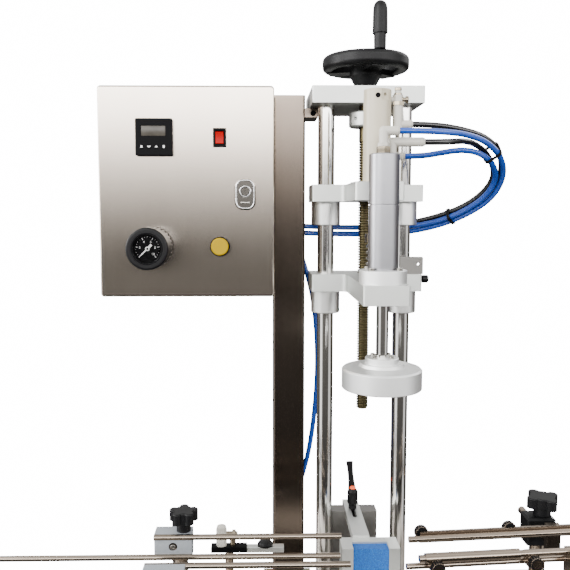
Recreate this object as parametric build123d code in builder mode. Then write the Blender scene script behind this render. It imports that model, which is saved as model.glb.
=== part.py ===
"""Bench-top bottle capping machine: air motor spindle on a column slide, control box and guide rails.

Frame: +Z up, +Y to the rear, +X to the right, in millimetres. The origin is the point of the bottle track
where the bottle stands, under the axis of the spindle.
"""

from build123d import *
import os
from math import cos, pi, radians, sin, tan

os.makedirs("parts", exist_ok=True)

# Deck: a folded steel tray that carries everything, on four rubber feet
DECK_WIDTH = 720
DECK_DEPTH = 400
DECK_HEIGHT = 80
DECK_CENTRE = (-40, 62)
DECK_SHEET = 3
DECK_TOP = -30
TRACK_X = (-300, 240)
TRACK_Y = (-24, 46)
FOOT_HEIGHT = 20
FIXING_SPACING = (680, 360)
FIXING_HOLE = 9

# Columns and the plates that slide on them
COLUMN_SPACING = 118
COLUMN_DIAMETER = 25
COLUMN_Y = 172
COLUMN_TOP = 776
PLATE_WIDTH = 166
PLATE_THICKNESS = 25
SLIDE_DEPTH = 72
TOP_PLATE_Z = 752
TOP_PLATE_DEPTH = 146
BRIDGE_Z = 607.5
BRIDGE_ARM_FRONT = 30
BRIDGE_ARM_WIDTH = 66
CARRIAGE_Z = 473
CARRIAGE_THICKNESS = 26
CARRIAGE_ARM_FRONT = -31
CARRIAGE_ARM_WIDTH = 60
BUSH_DIAMETER = 44
BUSH_LENGTH = 35.5
RUNNING_FIT = 0.05
CLEARANCE = 0.5

# Lead screw and handwheel
SCREW_DIAMETER = 18
SCREW_BOTTOM = 285
SCREW_PITCH = 4
COLLAR_Z = 720
COLLAR_HEIGHT = 23
COLLAR_DIAMETER = 49
WHEEL_DIAMETER = 130
WHEEL_HUB_Z = 780
WHEEL_RIM_Z = 814
GRIP_ANGLE = -77
GRIP_RADIUS = 55
GRIP_TOP = 893

# Air cylinder behind the motor
CYLINDER_Y = 60
CYLINDER_DIAMETER = 37.5
CYLINDER_TOP = 757
ROD_DIAMETER = 14

# Air motor, spindle and capping disc
MOTOR_DIAMETER = 39
MOTOR_TOP = 666
MOTOR_GROOVE_Z = 601
FLANGE_DIAMETER = 62
FLANGE_HEIGHT = 18
SPINDLE_DIAMETER = 16
DISC_DIAMETER = 105
DISC_BOTTOM = 361
DISC_RIM_HEIGHT = 27
HUB_DIAMETER = 44
HUB_TOP = 402

# Rear post and the enclosure on its left face
POST_SIDE = 50
POST_WALL = 2.5
POST_LEFT = -139.5
POST_FRONT = 192
POST_TOP = 772
HOSE_SLOT_Y = 216
HOSE_SLOT = (440, 640)
BOX_WIDTH = 250
BOX_HEIGHT = 300
BOX_DEPTH = 150
BOX_BOTTOM = 470
BOX_FRONT = 101
BOX_SHEET = 2
DOOR_DEPTH = 15
DOOR_GAP = 5

# Instruments on the door, as places of their centres
TIMER_CENTRE = (-309, 697)
SWITCH_CENTRE = (-217, 697)
LATCH_CENTRE = (-181, 617)
LATCH_RISE = 4
GAUGE_CENTRE = (-313, 542)
BUTTON_CENTRE = (-217, 543)

# Bottle holder
HOLDER_X = -10
HOLDER_POST_TOP = 111
CRADLE_WIDTH = 84
CRADLE_BACK = 100
CRADLE_FRONT = 64
CRADLE_TOP = 108
BOTTLE_RADIUS = 70
PAD_WIDTH = 52

# Guide rails: the left pair runs along X, the right pair is turned back a little
RAIL_DIAMETER = 8
RAIL_REAR_Y = 47
RAIL_FRONT_Y = -33
RAIL_TOP_Z = 136
RAIL_LOW_Z = 107
RAIL_TURN = 4.7
CROSS_ROD_DIAMETER = 12
CROSS_ROD_Z = 121

# Hoses
HOSE_DIAMETER = 8


def save(part, name):
    """Label a finished piece and write it as its own STEP file."""
    part.label = name
    export_step(part, f"parts/{name}.step")


def box_between(low, high, mode=Mode.ADD):
    """A box from its lowest to its highest corner."""
    size = [b - a for a, b in zip(low, high)]
    centre = [(a + b) / 2 for a, b in zip(low, high)]
    with Locations(tuple(centre)):
        Box(*size, mode=mode)


def upright(x, y, low, high, radius, mode=Mode.ADD):
    """A round bar or hole along Z."""
    with Locations((x, y, (low + high) / 2)):
        Cylinder(radius, high - low, mode=mode)


def lengthwise(x, y, z, length, radius, turn=0, mode=Mode.ADD):
    """A round bar along X that starts at (x, y), turned about Z at its start."""
    with Locations(Location((x, y, z), (0, 0, turn))):
        Cylinder(
            radius,
            length,
            rotation=(0, 90, 0),
            align=(Align.CENTER, Align.CENTER, Align.MIN),
            mode=mode,
        )


def turning_plane(x, y):
    """An upright plane through (x, y): its points are radius and height."""
    return Plane(origin=(x, y, 0), x_dir=(1, 0, 0), z_dir=(0, -1, 0))


def crosswise(x, z, front, back, radius, mode=Mode.ADD):
    """A round bar or hole along Y."""
    with Locations((x, (front + back) / 2, z)):
        Cylinder(radius, back - front, rotation=(90, 0, 0), mode=mode)


# Base: deck, feet, columns

deck_x, deck_y = DECK_CENTRE
with BuildPart() as base_deck:
    with Locations((deck_x, deck_y, DECK_TOP - DECK_HEIGHT / 2)):
        Box(DECK_WIDTH, DECK_DEPTH, DECK_HEIGHT)
    fillet(base_deck.edges().filter_by(Axis.Z), 12)
    fillet(base_deck.faces().sort_by(Axis.Z)[-1].edges(), 3)
    offset(amount=-DECK_SHEET, openings=base_deck.faces().sort_by(Axis.Z)[0], kind=Kind.INTERSECTION)
    with Locations((deck_x, deck_y, DECK_TOP)):
        with GridLocations(*FIXING_SPACING, 2, 2):
            Hole(FIXING_HOLE / 2, depth=DECK_SHEET)
    # Inward ledges under the corners, which the feet are screwed to
    with Locations((deck_x, deck_y, DECK_TOP - DECK_HEIGHT + DECK_SHEET / 2)):
        with GridLocations(DECK_WIDTH - 60 - 2, DECK_DEPTH - 60 - 2, 2, 2):
            Box(60, 60, DECK_SHEET)
    # Raised track of the same sheet, which the bottles slide along
    box_between((TRACK_X[0], TRACK_Y[0], DECK_TOP - 1), (TRACK_X[1], TRACK_Y[1], 0))
    chamfer(base_deck.faces().sort_by(Axis.Z)[-1].edges(), 2)
    box_between(
        (TRACK_X[0] + DECK_SHEET, TRACK_Y[0] + DECK_SHEET, DECK_TOP - DECK_SHEET - 1),
        (TRACK_X[1] - DECK_SHEET, TRACK_Y[1] - DECK_SHEET, -DECK_SHEET),
        Mode.SUBTRACT,
    )
save(base_deck.part, "base_deck")

with BuildPart() as rubber_feet:
    with Locations((deck_x, deck_y, DECK_TOP - DECK_HEIGHT - FOOT_HEIGHT)):
        with GridLocations(DECK_WIDTH - 80, DECK_DEPTH - 80, 2, 2):
            Cone(18, 21, FOOT_HEIGHT, align=(Align.CENTER, Align.CENTER, Align.MIN))
save(rubber_feet.part, "rubber_feet")

column_x = COLUMN_SPACING / 2
with BuildPart() as guide_columns:
    for side in (-1, 1):
        upright(side * column_x, COLUMN_Y, DECK_TOP, COLUMN_TOP, COLUMN_DIAMETER / 2)
    chamfer(guide_columns.edges().group_by(Axis.Z)[-1], 1)
save(guide_columns.part, "guide_columns")

with BuildPart() as top_plate:
    plate_front = COLUMN_Y - SLIDE_DEPTH / 2
    box_between(
        (-PLATE_WIDTH / 2, plate_front, TOP_PLATE_Z),
        (PLATE_WIDTH / 2, plate_front + TOP_PLATE_DEPTH, TOP_PLATE_Z + PLATE_THICKNESS),
    )
    chamfer(top_plate.edges().filter_by(Axis.Z), 1.5)
    for side in (-1, 1):
        upright(
            side * column_x, COLUMN_Y, TOP_PLATE_Z, TOP_PLATE_Z + PLATE_THICKNESS,
            COLUMN_DIAMETER / 2, Mode.SUBTRACT,
        )
    upright(
        0, COLUMN_Y, TOP_PLATE_Z, TOP_PLATE_Z + PLATE_THICKNESS,
        SCREW_DIAMETER / 2 + CLEARANCE, Mode.SUBTRACT,
    )
save(top_plate.part, "top_plate")

with BuildPart() as rear_post:
    post_right = POST_LEFT + POST_SIDE
    post_back = POST_FRONT + POST_SIDE
    box_between((POST_LEFT, POST_FRONT, DECK_TOP), (post_right, post_back, POST_TOP))
    fillet(rear_post.edges().filter_by(Axis.Z), 4)
    box_between(
        (POST_LEFT + POST_WALL, POST_FRONT + POST_WALL, DECK_TOP),
        (post_right - POST_WALL, post_back - POST_WALL, POST_TOP - POST_WALL),
        Mode.SUBTRACT,
    )
    # Slots in the right face: one where the hoses come out, one where the lower hose goes back in
    box_between(
        (post_right - 10, HOSE_SLOT_Y - 16, HOSE_SLOT[0]), (post_right + 1, HOSE_SLOT_Y + 20, HOSE_SLOT[1]),
        Mode.SUBTRACT,
    )
    box_between((post_right - 10, 214, 125), (post_right + 1, 230, 190), Mode.SUBTRACT)
    # Foot plate, and the welded lug that the top plate is screwed to
    with Locations(((POST_LEFT + post_right) / 2, (POST_FRONT + post_back) / 2, DECK_TOP + 4)):
        Box(80, 80, 8)
    box_between((post_right - 1, POST_FRONT, 738), (-70, post_back, TOP_PLATE_Z))
save(rear_post.part, "rear_post")

# Handwheel with its screw, collar and turning grip

wheel_radius = WHEEL_DIAMETER / 2
screw_axis = Axis((0, COLUMN_Y, 0), (0, 0, 1))
with BuildPart() as handwheel:
    # Rim: a rounded section turned about the screw
    with BuildSketch(turning_plane(0, COLUMN_Y)):
        with Locations((wheel_radius - 9, WHEEL_RIM_Z)):
            RectangleRounded(18, 22, 7)
    revolve(axis=screw_axis)
    # Hub: a cone that widens towards the spokes
    with BuildSketch(turning_plane(0, COLUMN_Y)):
        with BuildLine():
            Polyline(
                (SCREW_DIAMETER / 2, WHEEL_HUB_Z), (15, WHEEL_HUB_Z), (24, WHEEL_HUB_Z + 16),
                (24, WHEEL_HUB_Z + 34), (18, WHEEL_HUB_Z + 38), (SCREW_DIAMETER / 2, WHEEL_HUB_Z + 38),
                close=True,
            )
        make_face()
    revolve(axis=screw_axis)
    # Three flat spokes
    with Locations((0, COLUMN_Y, WHEEL_HUB_Z + 26)):
        with PolarLocations(18, 3, start_angle=GRIP_ANGLE):
            Box(
                wheel_radius - 18 - 8, 24, 9,
                align=(Align.MIN, Align.CENTER, Align.CENTER),
            )
    # Bolt that the grip turns on
    grip_x = GRIP_RADIUS * cos(radians(GRIP_ANGLE))
    grip_y = COLUMN_Y + GRIP_RADIUS * sin(radians(GRIP_ANGLE))
    upright(grip_x, grip_y, WHEEL_RIM_Z + 10, GRIP_TOP - 12, 4)
save(handwheel.part, "handwheel")

with BuildPart() as handle_grip:
    grip_base = WHEEL_RIM_Z + 11.3
    bolt_bore = 4 + RUNNING_FIT
    with BuildSketch(turning_plane(grip_x, grip_y)):
        with BuildLine():
            foot_line = Polyline(
                (bolt_bore, grip_base), (8.7, grip_base), (9, grip_base + 21.5),
                (10.9, grip_base + 21.5), (10.9, grip_base + 24),
            )
            side_line = Spline(
                foot_line @ 1, (10.7, grip_base + 42), (10.2, GRIP_TOP - 12), (8.2, GRIP_TOP - 4.5),
                (4.4, GRIP_TOP - 1), (0, GRIP_TOP), tangents=((0, 1), (-1, 0)),
            )
            Polyline(side_line @ 1, (0, GRIP_TOP - 11), (bolt_bore, GRIP_TOP - 11), (bolt_bore, grip_base))
        make_face()
    revolve(axis=Axis((grip_x, grip_y, 0), (0, 0, 1)))
save(handle_grip.part, "handle_grip")

with BuildPart() as lead_screw:
    upright(0, COLUMN_Y, SCREW_BOTTOM, WHEEL_HUB_Z + 36, SCREW_DIAMETER / 2)
    chamfer(lead_screw.edges().group_by(Axis.Z)[0], 2)
save(lead_screw.part, "lead_screw")

with BuildPart() as screw_collar:
    upright(0, COLUMN_Y, COLLAR_Z, COLLAR_Z + COLLAR_HEIGHT, COLLAR_DIAMETER / 2)
    chamfer(screw_collar.edges().filter_by(GeomType.CIRCLE), 2)
    upright(0, COLUMN_Y, COLLAR_Z, COLLAR_Z + COLLAR_HEIGHT, SCREW_DIAMETER / 2, Mode.SUBTRACT)
    # Saw cut and clamp screw hole of a split collar
    box_between((-1, 120, COLLAR_Z), (1, COLUMN_Y - 4, COLLAR_Z + COLLAR_HEIGHT), Mode.SUBTRACT)
    lengthwise(-30, COLUMN_Y - 17, COLLAR_Z + COLLAR_HEIGHT / 2, 60, 2.5, mode=Mode.SUBTRACT)
save(screw_collar.part, "screw_collar")

# Upper bridge: carries the nut and the air cylinder


def sliding_plate(low, thickness, arm_front, arm_width):
    """A T-shaped plate: a bar across the columns and an arm that reaches forward."""
    back = COLUMN_Y + SLIDE_DEPTH / 2
    front = COLUMN_Y - SLIDE_DEPTH / 2
    with BuildSketch(Plane.XY.offset(low)) as outline:
        with BuildLine():
            Polyline(
                (-PLATE_WIDTH / 2, back), (-PLATE_WIDTH / 2, front), (-arm_width / 2, front),
                (-arm_width / 2, arm_front), (arm_width / 2, arm_front), (arm_width / 2, front),
                (PLATE_WIDTH / 2, front), (PLATE_WIDTH / 2, back), close=True,
            )
        make_face()
        corners = [v for v in vertices() if abs(abs(v.X) - arm_width / 2) < 1 and v.Y > arm_front + 1]
        fillet(corners, 8)
        outer = [v for v in vertices() if abs(abs(v.X) - PLATE_WIDTH / 2) < 1 or v.Y < arm_front + 1]
        fillet(outer, 3)
    extrude(outline.sketch, amount=thickness)


with BuildPart() as upper_bridge:
    sliding_plate(BRIDGE_Z, PLATE_THICKNESS, BRIDGE_ARM_FRONT, BRIDGE_ARM_WIDTH)
    bridge_top = BRIDGE_Z + PLATE_THICKNESS
    for side in (-1, 1):
        upright(
            side * column_x, COLUMN_Y, BRIDGE_Z, bridge_top,
            COLUMN_DIAMETER / 2 + CLEARANCE, Mode.SUBTRACT,
        )
    upright(0, COLUMN_Y, BRIDGE_Z, bridge_top, 15, Mode.SUBTRACT)
    upright(0, CYLINDER_Y, BRIDGE_Z, bridge_top, ROD_DIAMETER / 2 + CLEARANCE, Mode.SUBTRACT)
save(upper_bridge.part, "upper_bridge")

with BuildPart() as screw_nut:
    upright(0, COLUMN_Y, BRIDGE_Z, bridge_top, 15)
    upright(0, COLUMN_Y, bridge_top, bridge_top + 5, 21)
    upright(0, COLUMN_Y, BRIDGE_Z, bridge_top + 5, SCREW_DIAMETER / 2 + RUNNING_FIT, Mode.SUBTRACT)
save(screw_nut.part, "screw_nut")


def linear_bushes(high, bore_radius):
    """Two bearing housings under a sliding plate, one round each column."""
    for side in (-1, 1):
        upright(side * column_x, COLUMN_Y, high - BUSH_LENGTH, high, BUSH_DIAMETER / 2)
    chamfer(faces().sort_by(Axis.Z)[0:2].edges(), 1)
    for side in (-1, 1):
        upright(side * column_x, COLUMN_Y, high - BUSH_LENGTH, high, bore_radius, Mode.SUBTRACT)


with BuildPart() as bridge_bushes:
    linear_bushes(BRIDGE_Z, COLUMN_DIAMETER / 2 + RUNNING_FIT)
save(bridge_bushes.part, "bridge_bushes")

with BuildPart() as air_cylinder:
    upright(0, CYLINDER_Y, bridge_top, CYLINDER_TOP, CYLINDER_DIAMETER / 2)
    chamfer(air_cylinder.edges().group_by(Axis.Z)[-1], 1)
    # Flat with the upper port, on the right front of the head
    with Locations(Location((0, CYLINDER_Y, CYLINDER_TOP - 8), (0, 0, 30))):
        with Locations((0, -CYLINDER_DIAMETER / 2, 0)):
            Box(14, 5, 16, mode=Mode.SUBTRACT)
            Cylinder(2.2, 12, rotation=(90, 0, 0), mode=Mode.SUBTRACT)
    # Ports for the fittings, and the bore for the piston rod
    lengthwise(18, CYLINDER_Y, 744, 5, 4, mode=Mode.SUBTRACT)
    lengthwise(18, CYLINDER_Y, 668, 5, 5, mode=Mode.SUBTRACT)
    upright(0, CYLINDER_Y, bridge_top, CYLINDER_TOP - 20, ROD_DIAMETER / 2 + CLEARANCE, Mode.SUBTRACT)
save(air_cylinder.part, "air_cylinder")


def elbow(x, y, z_low, z_out, reach, radius):
    """A push-in elbow: an upright leg, a rounded corner and an arm along +X."""
    upright(x, y, z_low, z_out, radius)
    with Locations((x, y, z_out)):
        Sphere(radius)
    lengthwise(x, y, z_out, reach, radius)


with BuildPart() as cylinder_fittings:
    # Flow regulator on the upper port, with its outlet towards +X
    lengthwise(18, CYLINDER_Y, 744, 10, 4)
    upright(28, CYLINDER_Y, 703, 750, 7)
    lengthwise(28, CYLINDER_Y, 711, 18, 5.5)
    upright(28, CYLINDER_Y, 749, 756, 4.5)
    # Elbow on the lower port
    lengthwise(18, CYLINDER_Y, 668, 18, 5)
save(cylinder_fittings.part, "cylinder_fittings")

# Lower carriage: motor, rod and spring

carriage_top = CARRIAGE_Z + CARRIAGE_THICKNESS
with BuildPart() as lower_carriage:
    sliding_plate(CARRIAGE_Z, CARRIAGE_THICKNESS, CARRIAGE_ARM_FRONT, CARRIAGE_ARM_WIDTH)
    for side in (-1, 1):
        upright(
            side * column_x, COLUMN_Y, CARRIAGE_Z, carriage_top,
            COLUMN_DIAMETER / 2 + CLEARANCE, Mode.SUBTRACT,
        )
    upright(0, COLUMN_Y, CARRIAGE_Z, carriage_top, SCREW_DIAMETER / 2 + 2, Mode.SUBTRACT)
    upright(0, CYLINDER_Y, CARRIAGE_Z, carriage_top, 5, Mode.SUBTRACT)
    upright(0, 0, CARRIAGE_Z, carriage_top, SPINDLE_DIAMETER / 2 + CLEARANCE, Mode.SUBTRACT)
save(lower_carriage.part, "lower_carriage")

with BuildPart() as carriage_bushes:
    linear_bushes(CARRIAGE_Z, COLUMN_DIAMETER / 2 + RUNNING_FIT)
save(carriage_bushes.part, "carriage_bushes")

cap_top = 562
with BuildPart() as piston_rod:
    upright(0, CYLINDER_Y, cap_top - 1, bridge_top + 90, ROD_DIAMETER / 2)
    upright(0, CYLINDER_Y, cap_top - 12, cap_top, 15)
    upright(0, CYLINDER_Y, CARRIAGE_Z - 10, cap_top - 11, 5)
    with BuildSketch(Plane.XY.offset(CARRIAGE_Z - 8)):
        with Locations((0, CYLINDER_Y)):
            RegularPolygon(10, 6)
    extrude(amount=8)
save(piston_rod.part, "piston_rod")

SPRING_RADIUS = 11.5
SPRING_WIRE = 3.6
SPRING_TURNS = 6
spring_length = cap_top - 12 - carriage_top - SPRING_WIRE - 0.2
with BuildPart() as press_spring:
    with BuildLine():
        coil = Helix(
            spring_length / SPRING_TURNS, spring_length, SPRING_RADIUS,
            center=(0, CYLINDER_Y, carriage_top + SPRING_WIRE / 2 + 0.1),
        )
    with BuildSketch(Plane(origin=coil @ 0, z_dir=coil % 0)):
        Circle(SPRING_WIRE / 2)
    sweep()
save(press_spring.part, "press_spring")

with BuildPart() as motor_flange:
    upright(0, 0, carriage_top, carriage_top + FLANGE_HEIGHT, FLANGE_DIAMETER / 2)
    chamfer(motor_flange.edges().group_by(Axis.Z)[-1], 1)
    upright(0, 0, carriage_top, carriage_top + FLANGE_HEIGHT, 12, Mode.SUBTRACT)
    # Four counterbored screws, sunk between motor and rim
    with Locations((0, 0, carriage_top + FLANGE_HEIGHT)):
        with PolarLocations(25.5, 4, start_angle=45):
            CounterBoreHole(2.6, 4.2, 5, depth=FLANGE_HEIGHT)
save(motor_flange.part, "motor_flange")

flange_top = carriage_top + FLANGE_HEIGHT
with BuildPart() as air_motor:
    motor_radius = MOTOR_DIAMETER / 2
    upright(0, 0, flange_top, MOTOR_TOP, motor_radius)
    chamfer(air_motor.edges().group_by(Axis.Z)[-1], 1)
    # Parting groove between the motor and its gearbox
    with BuildSketch(Plane.XZ):
        with Locations((motor_radius, MOTOR_GROOVE_Z)):
            Rectangle(2, 1.2)
    revolve(axis=Axis.Z, mode=Mode.SUBTRACT)
    # Neck in the flange, bored for the spindle
    upright(0, 0, carriage_top, flange_top, 12)
    upright(0, 0, carriage_top, flange_top + 12, SPINDLE_DIAMETER / 2 + RUNNING_FIT, Mode.SUBTRACT)
save(air_motor.part, "air_motor")

with BuildPart() as motor_fittings:
    # Hexagon nut and elbow of the air inlet
    with BuildSketch(Plane.XY.offset(MOTOR_TOP)):
        with Locations((-2, -3)):
            RegularPolygon(7.5, 6)
    extrude(amount=14)
    elbow(-2, -3, MOTOR_TOP + 14, 695, 18, 6)
    # Second elbow, the exhaust with its flow regulator
    elbow(11, 8, MOTOR_TOP, 682, 40, 6)
save(motor_fittings.part, "motor_fittings")

with BuildPart() as sensor_bracket:
    box_between((50, 139, carriage_top), (85, 144, carriage_top + 26))
    fillet(sensor_bracket.edges().filter_by(Axis.Y), 2)
    box_between((50, 139, carriage_top), (85, 153, carriage_top + 3))
    crosswise(78, carriage_top + 15, 138, 145, 2, Mode.SUBTRACT)
save(sensor_bracket.part, "sensor_bracket")

with BuildPart() as bracket_knob:
    lengthwise(PLATE_WIDTH / 2, 148, carriage_top - 8, 4, 3)
    lengthwise(PLATE_WIDTH / 2 + 3, 148, carriage_top - 8, 9, 6)
    chamfer(bracket_knob.edges().group_by(Axis.X)[-1], 1.5)
save(bracket_knob.part, "bracket_knob")

# Spindle and capping disc

with BuildPart() as spindle_shaft:
    upright(0, 0, DISC_BOTTOM + 12, flange_top + 10, SPINDLE_DIAMETER / 2)
save(spindle_shaft.part, "spindle_shaft")

disc_radius = DISC_DIAMETER / 2
disc_rim_top = DISC_BOTTOM + DISC_RIM_HEIGHT
with BuildPart() as capping_disc:
    with BuildSketch(Plane.XZ):
        with BuildLine():
            Polyline(
                (SPINDLE_DIAMETER / 2, DISC_BOTTOM + 12), (20, DISC_BOTTOM + 12), (42, DISC_BOTTOM),
                (disc_radius - 1, DISC_BOTTOM), (disc_radius, DISC_BOTTOM + 1),
                (disc_radius, disc_rim_top - 2), (disc_radius - 2, disc_rim_top),
                (30, disc_rim_top + 2), (28, disc_rim_top + 6), (HUB_DIAMETER / 2, disc_rim_top + 6),
                (HUB_DIAMETER / 2, HUB_TOP - 1), (HUB_DIAMETER / 2 - 1, HUB_TOP),
                (SPINDLE_DIAMETER / 2, HUB_TOP), close=True,
            )
        make_face()
    revolve(axis=Axis.Z)
save(capping_disc.part, "capping_disc")

with BuildPart() as cap_liner:
    with BuildSketch(Plane.XZ):
        with BuildLine():
            Polyline(
                (11, DISC_BOTTOM + 12), (20, DISC_BOTTOM + 12), (42, DISC_BOTTOM), (40, DISC_BOTTOM - 2),
                (34, DISC_BOTTOM - 2), (15, DISC_BOTTOM + 8), (11, DISC_BOTTOM + 8), close=True,
            )
        make_face()
    revolve(axis=Axis.Z)
save(cap_liner.part, "cap_liner")

# Enclosure with a door on the left edge

box_right = POST_LEFT
box_left = box_right - BOX_WIDTH
box_top = BOX_BOTTOM + BOX_HEIGHT
box_back = BOX_FRONT + BOX_DEPTH
shell_front = BOX_FRONT + DOOR_DEPTH + DOOR_GAP
with BuildPart() as enclosure_body:
    box_between((box_left, shell_front, BOX_BOTTOM), (box_right, box_back, box_top))
    fillet(enclosure_body.edges().filter_by(Axis.Y), 3)
    offset(amount=-BOX_SHEET, openings=enclosure_body.faces().sort_by(Axis.Y)[0], kind=Kind.INTERSECTION)
    # Returned lip round the opening
    with BuildSketch(Plane.XZ.offset(-shell_front)):
        with Locations(((box_left + box_right) / 2, (BOX_BOTTOM + box_top) / 2)):
            Rectangle(BOX_WIDTH - 4, BOX_HEIGHT - 4)
            Rectangle(BOX_WIDTH - 28, BOX_HEIGHT - 28, mode=Mode.SUBTRACT)
    extrude(amount=-BOX_SHEET)
save(enclosure_body.part, "enclosure_body")

HINGE_X = box_left + 8
HINGE_Y = BOX_FRONT + 9
HINGE_ENDS = ((BOX_BOTTOM + 30, BOX_BOTTOM + 80), (box_top - 80, box_top - 30))
with BuildPart() as hinge_pins:
    for low, high in HINGE_ENDS:
        upright(HINGE_X, HINGE_Y, low - 8, high + 8, 2.5)
        for end in (low - 8, high + 3):
            box_between((HINGE_X - 3, HINGE_Y - 3, end), (HINGE_X + 3, shell_front, end + 5))
save(hinge_pins.part, "hinge_pins")


def round_hole(centre, radius):
    """A round hole through the door sheet."""
    crosswise(centre[0], centre[1], BOX_FRONT - 1, BOX_FRONT + BOX_SHEET + 1, radius, Mode.SUBTRACT)


def square_hole(centre, width, height):
    """A rectangular hole through the door sheet."""
    box_between(
        (centre[0] - width / 2, BOX_FRONT - 1, centre[1] - height / 2),
        (centre[0] + width / 2, BOX_FRONT + BOX_SHEET + 1, centre[1] + height / 2),
        Mode.SUBTRACT,
    )


with BuildPart() as enclosure_door:
    box_between((box_left, BOX_FRONT, BOX_BOTTOM), (box_right, BOX_FRONT + DOOR_DEPTH, box_top))
    fillet(enclosure_door.edges().filter_by(Axis.Y), 5)
    fillet(enclosure_door.faces().sort_by(Axis.Y)[0].edges(), 3)
    offset(
        amount=-BOX_SHEET, openings=enclosure_door.faces().sort_by(Axis.Y)[-1],
        kind=Kind.INTERSECTION,
    )
    # Hinge barrels, folded from a strip that is welded inside the door
    for low, high in HINGE_ENDS:
        upright(HINGE_X, HINGE_Y, low, high, 4.5)
        box_between((HINGE_X - 3, BOX_FRONT + 1, low), (HINGE_X + 3, HINGE_Y, high))
        upright(HINGE_X, HINGE_Y, low, high, 2.5 + RUNNING_FIT, Mode.SUBTRACT)
    # Notches in the folded edge, where the hinge lugs come through as the door opens
    for low, high in HINGE_ENDS:
        for end in (low - 10, high + 1):
            box_between(
                (box_left - 1, BOX_FRONT + 3, end), (box_left + 4, BOX_FRONT + DOOR_DEPTH + 1, end + 9),
                Mode.SUBTRACT,
            )
    square_hole(TIMER_CENTRE, 45, 45)
    square_hole(SWITCH_CENTRE, 13.4, 20.4)
    round_hole((LATCH_CENTRE[0], LATCH_CENTRE[1] + LATCH_RISE), 9)
    round_hole(GAUGE_CENTRE, 15)
    round_hole(BUTTON_CENTRE, 11)
save(enclosure_door.part, "enclosure_door")

door_front = BOX_FRONT
with BuildPart() as timer_housing:
    tx, tz = TIMER_CENTRE
    box_between((tx - 26, door_front - 9, tz - 26), (tx + 26, door_front, tz + 26))
    fillet(timer_housing.edges().filter_by(Axis.Y), 2)
    chamfer(timer_housing.faces().sort_by(Axis.Y)[0].edges(), 1)
    # Display window and the row of four keys
    box_between((tx - 18, door_front - 9, tz + 1), (tx + 17, door_front - 7.5, tz + 16), Mode.SUBTRACT)
    for column in range(4):
        key_x = tx - 17 + column * 10.4
        box_between((key_x - 3, door_front - 9.4, tz - 16), (key_x + 3, door_front - 9, tz - 11))
    box_between((tx - 22.4, door_front, tz - 22.4), (tx + 22.4, door_front + 70, tz + 22.4))
save(timer_housing.part, "timer_housing")

with BuildPart() as switch_bezel:
    sx, sz = SWITCH_CENTRE
    box_between((sx - 9.2, door_front - 4, sz - 13.2), (sx + 9.2, door_front, sz + 13.2))
    chamfer(switch_bezel.faces().sort_by(Axis.Y)[0].edges(), 0.8)
    box_between((sx - 6.6, door_front, sz - 10.1), (sx + 6.6, door_front + 22, sz + 10.1))
    box_between((sx - 6, door_front - 5, sz - 9.6), (sx + 6, door_front + 10, sz + 9.6), Mode.SUBTRACT)
save(switch_bezel.part, "switch_bezel")

with BuildPart() as red_switch_cap:
    # Rocker cap: hollow in front, tipped to one side about its pivot behind the panel
    tip = radians(3.5)
    rocker_plane = Plane(
        origin=(sx - 5.6, door_front + 3, sz), x_dir=(0, cos(tip), sin(tip)), z_dir=(1, 0, 0)
    )
    with BuildSketch(rocker_plane):
        with BuildLine():
            rocker_back = Polyline((-8.5, -8.2), (-6, -8.2), (3, -5), (3, 5), (-6, 8.2), (-8.5, 8.2))
            ThreePointArc(rocker_back @ 1, (-7.2, 0), rocker_back @ 0)
        make_face()
    extrude(amount=11.2)
save(red_switch_cap.part, "red_switch_cap")

with BuildPart() as button_collar:
    bx, bz = BUTTON_CENTRE
    crosswise(bx, bz, door_front - 11, door_front, 14)
    chamfer(button_collar.faces().sort_by(Axis.Y)[0].edges(), 1.5)
    crosswise(bx, bz, door_front, door_front + 30, 10.9)
    crosswise(bx, bz, door_front - 12, door_front + 12, 9.8, Mode.SUBTRACT)
    crosswise(bx, bz, door_front - 12, door_front - 6, 12.8, Mode.SUBTRACT)
save(button_collar.part, "button_collar")

with BuildPart() as yellow_button_cap:
    crosswise(bx, bz, door_front - 17, door_front - 11.4, 12.4)
    fillet(yellow_button_cap.faces().sort_by(Axis.Y)[0].edges(), 2)
    crosswise(bx, bz, door_front - 12, door_front + 4, 9.2)
save(yellow_button_cap.part, "yellow_button_cap")

with BuildPart() as latch_plate:
    lx, lz = LATCH_CENTRE
    with BuildSketch(Plane.XZ.offset(-door_front)):
        with Locations((lx, lz)):
            RectangleRounded(30, 44.5, 12)
    extrude(amount=5, taper=12)
    barrel_z = lz + LATCH_RISE
    crosswise(lx, barrel_z, door_front, door_front + 20, 8.9)
    crosswise(lx, barrel_z, door_front - 6, door_front + 24, 6, Mode.SUBTRACT)
save(latch_plate.part, "latch_plate")

with BuildPart() as latch_barrel:
    crosswise(lx, barrel_z, door_front - 5.6, door_front + 25.5, 5.7)
    box_between(
        (lx - 1, door_front - 6, barrel_z - 4), (lx + 1, door_front - 3.6, barrel_z + 4), Mode.SUBTRACT
    )
    # Cam that turns behind the returned lip, upright while the door is free
    box_between(
        (lx - 6, door_front + 22.5, barrel_z - 6), (lx + 6, door_front + 25.5, barrel_z + 34)
    )
save(latch_barrel.part, "latch_barrel")

# Pressure regulator with its gauge in the knob
gx, gz = GAUGE_CENTRE
with BuildPart() as regulator_body:
    crosswise(gx, gz, door_front - 8, door_front, 21)
    crosswise(gx, gz, door_front, door_front + 60, 14.8)
    box_between((gx - 25, door_front + 22, gz - 25), (gx + 25, door_front + 60, gz + 25))
    crosswise(gx, gz, door_front - 41, door_front - 8, 10)
save(regulator_body.part, "regulator_body")

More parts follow.
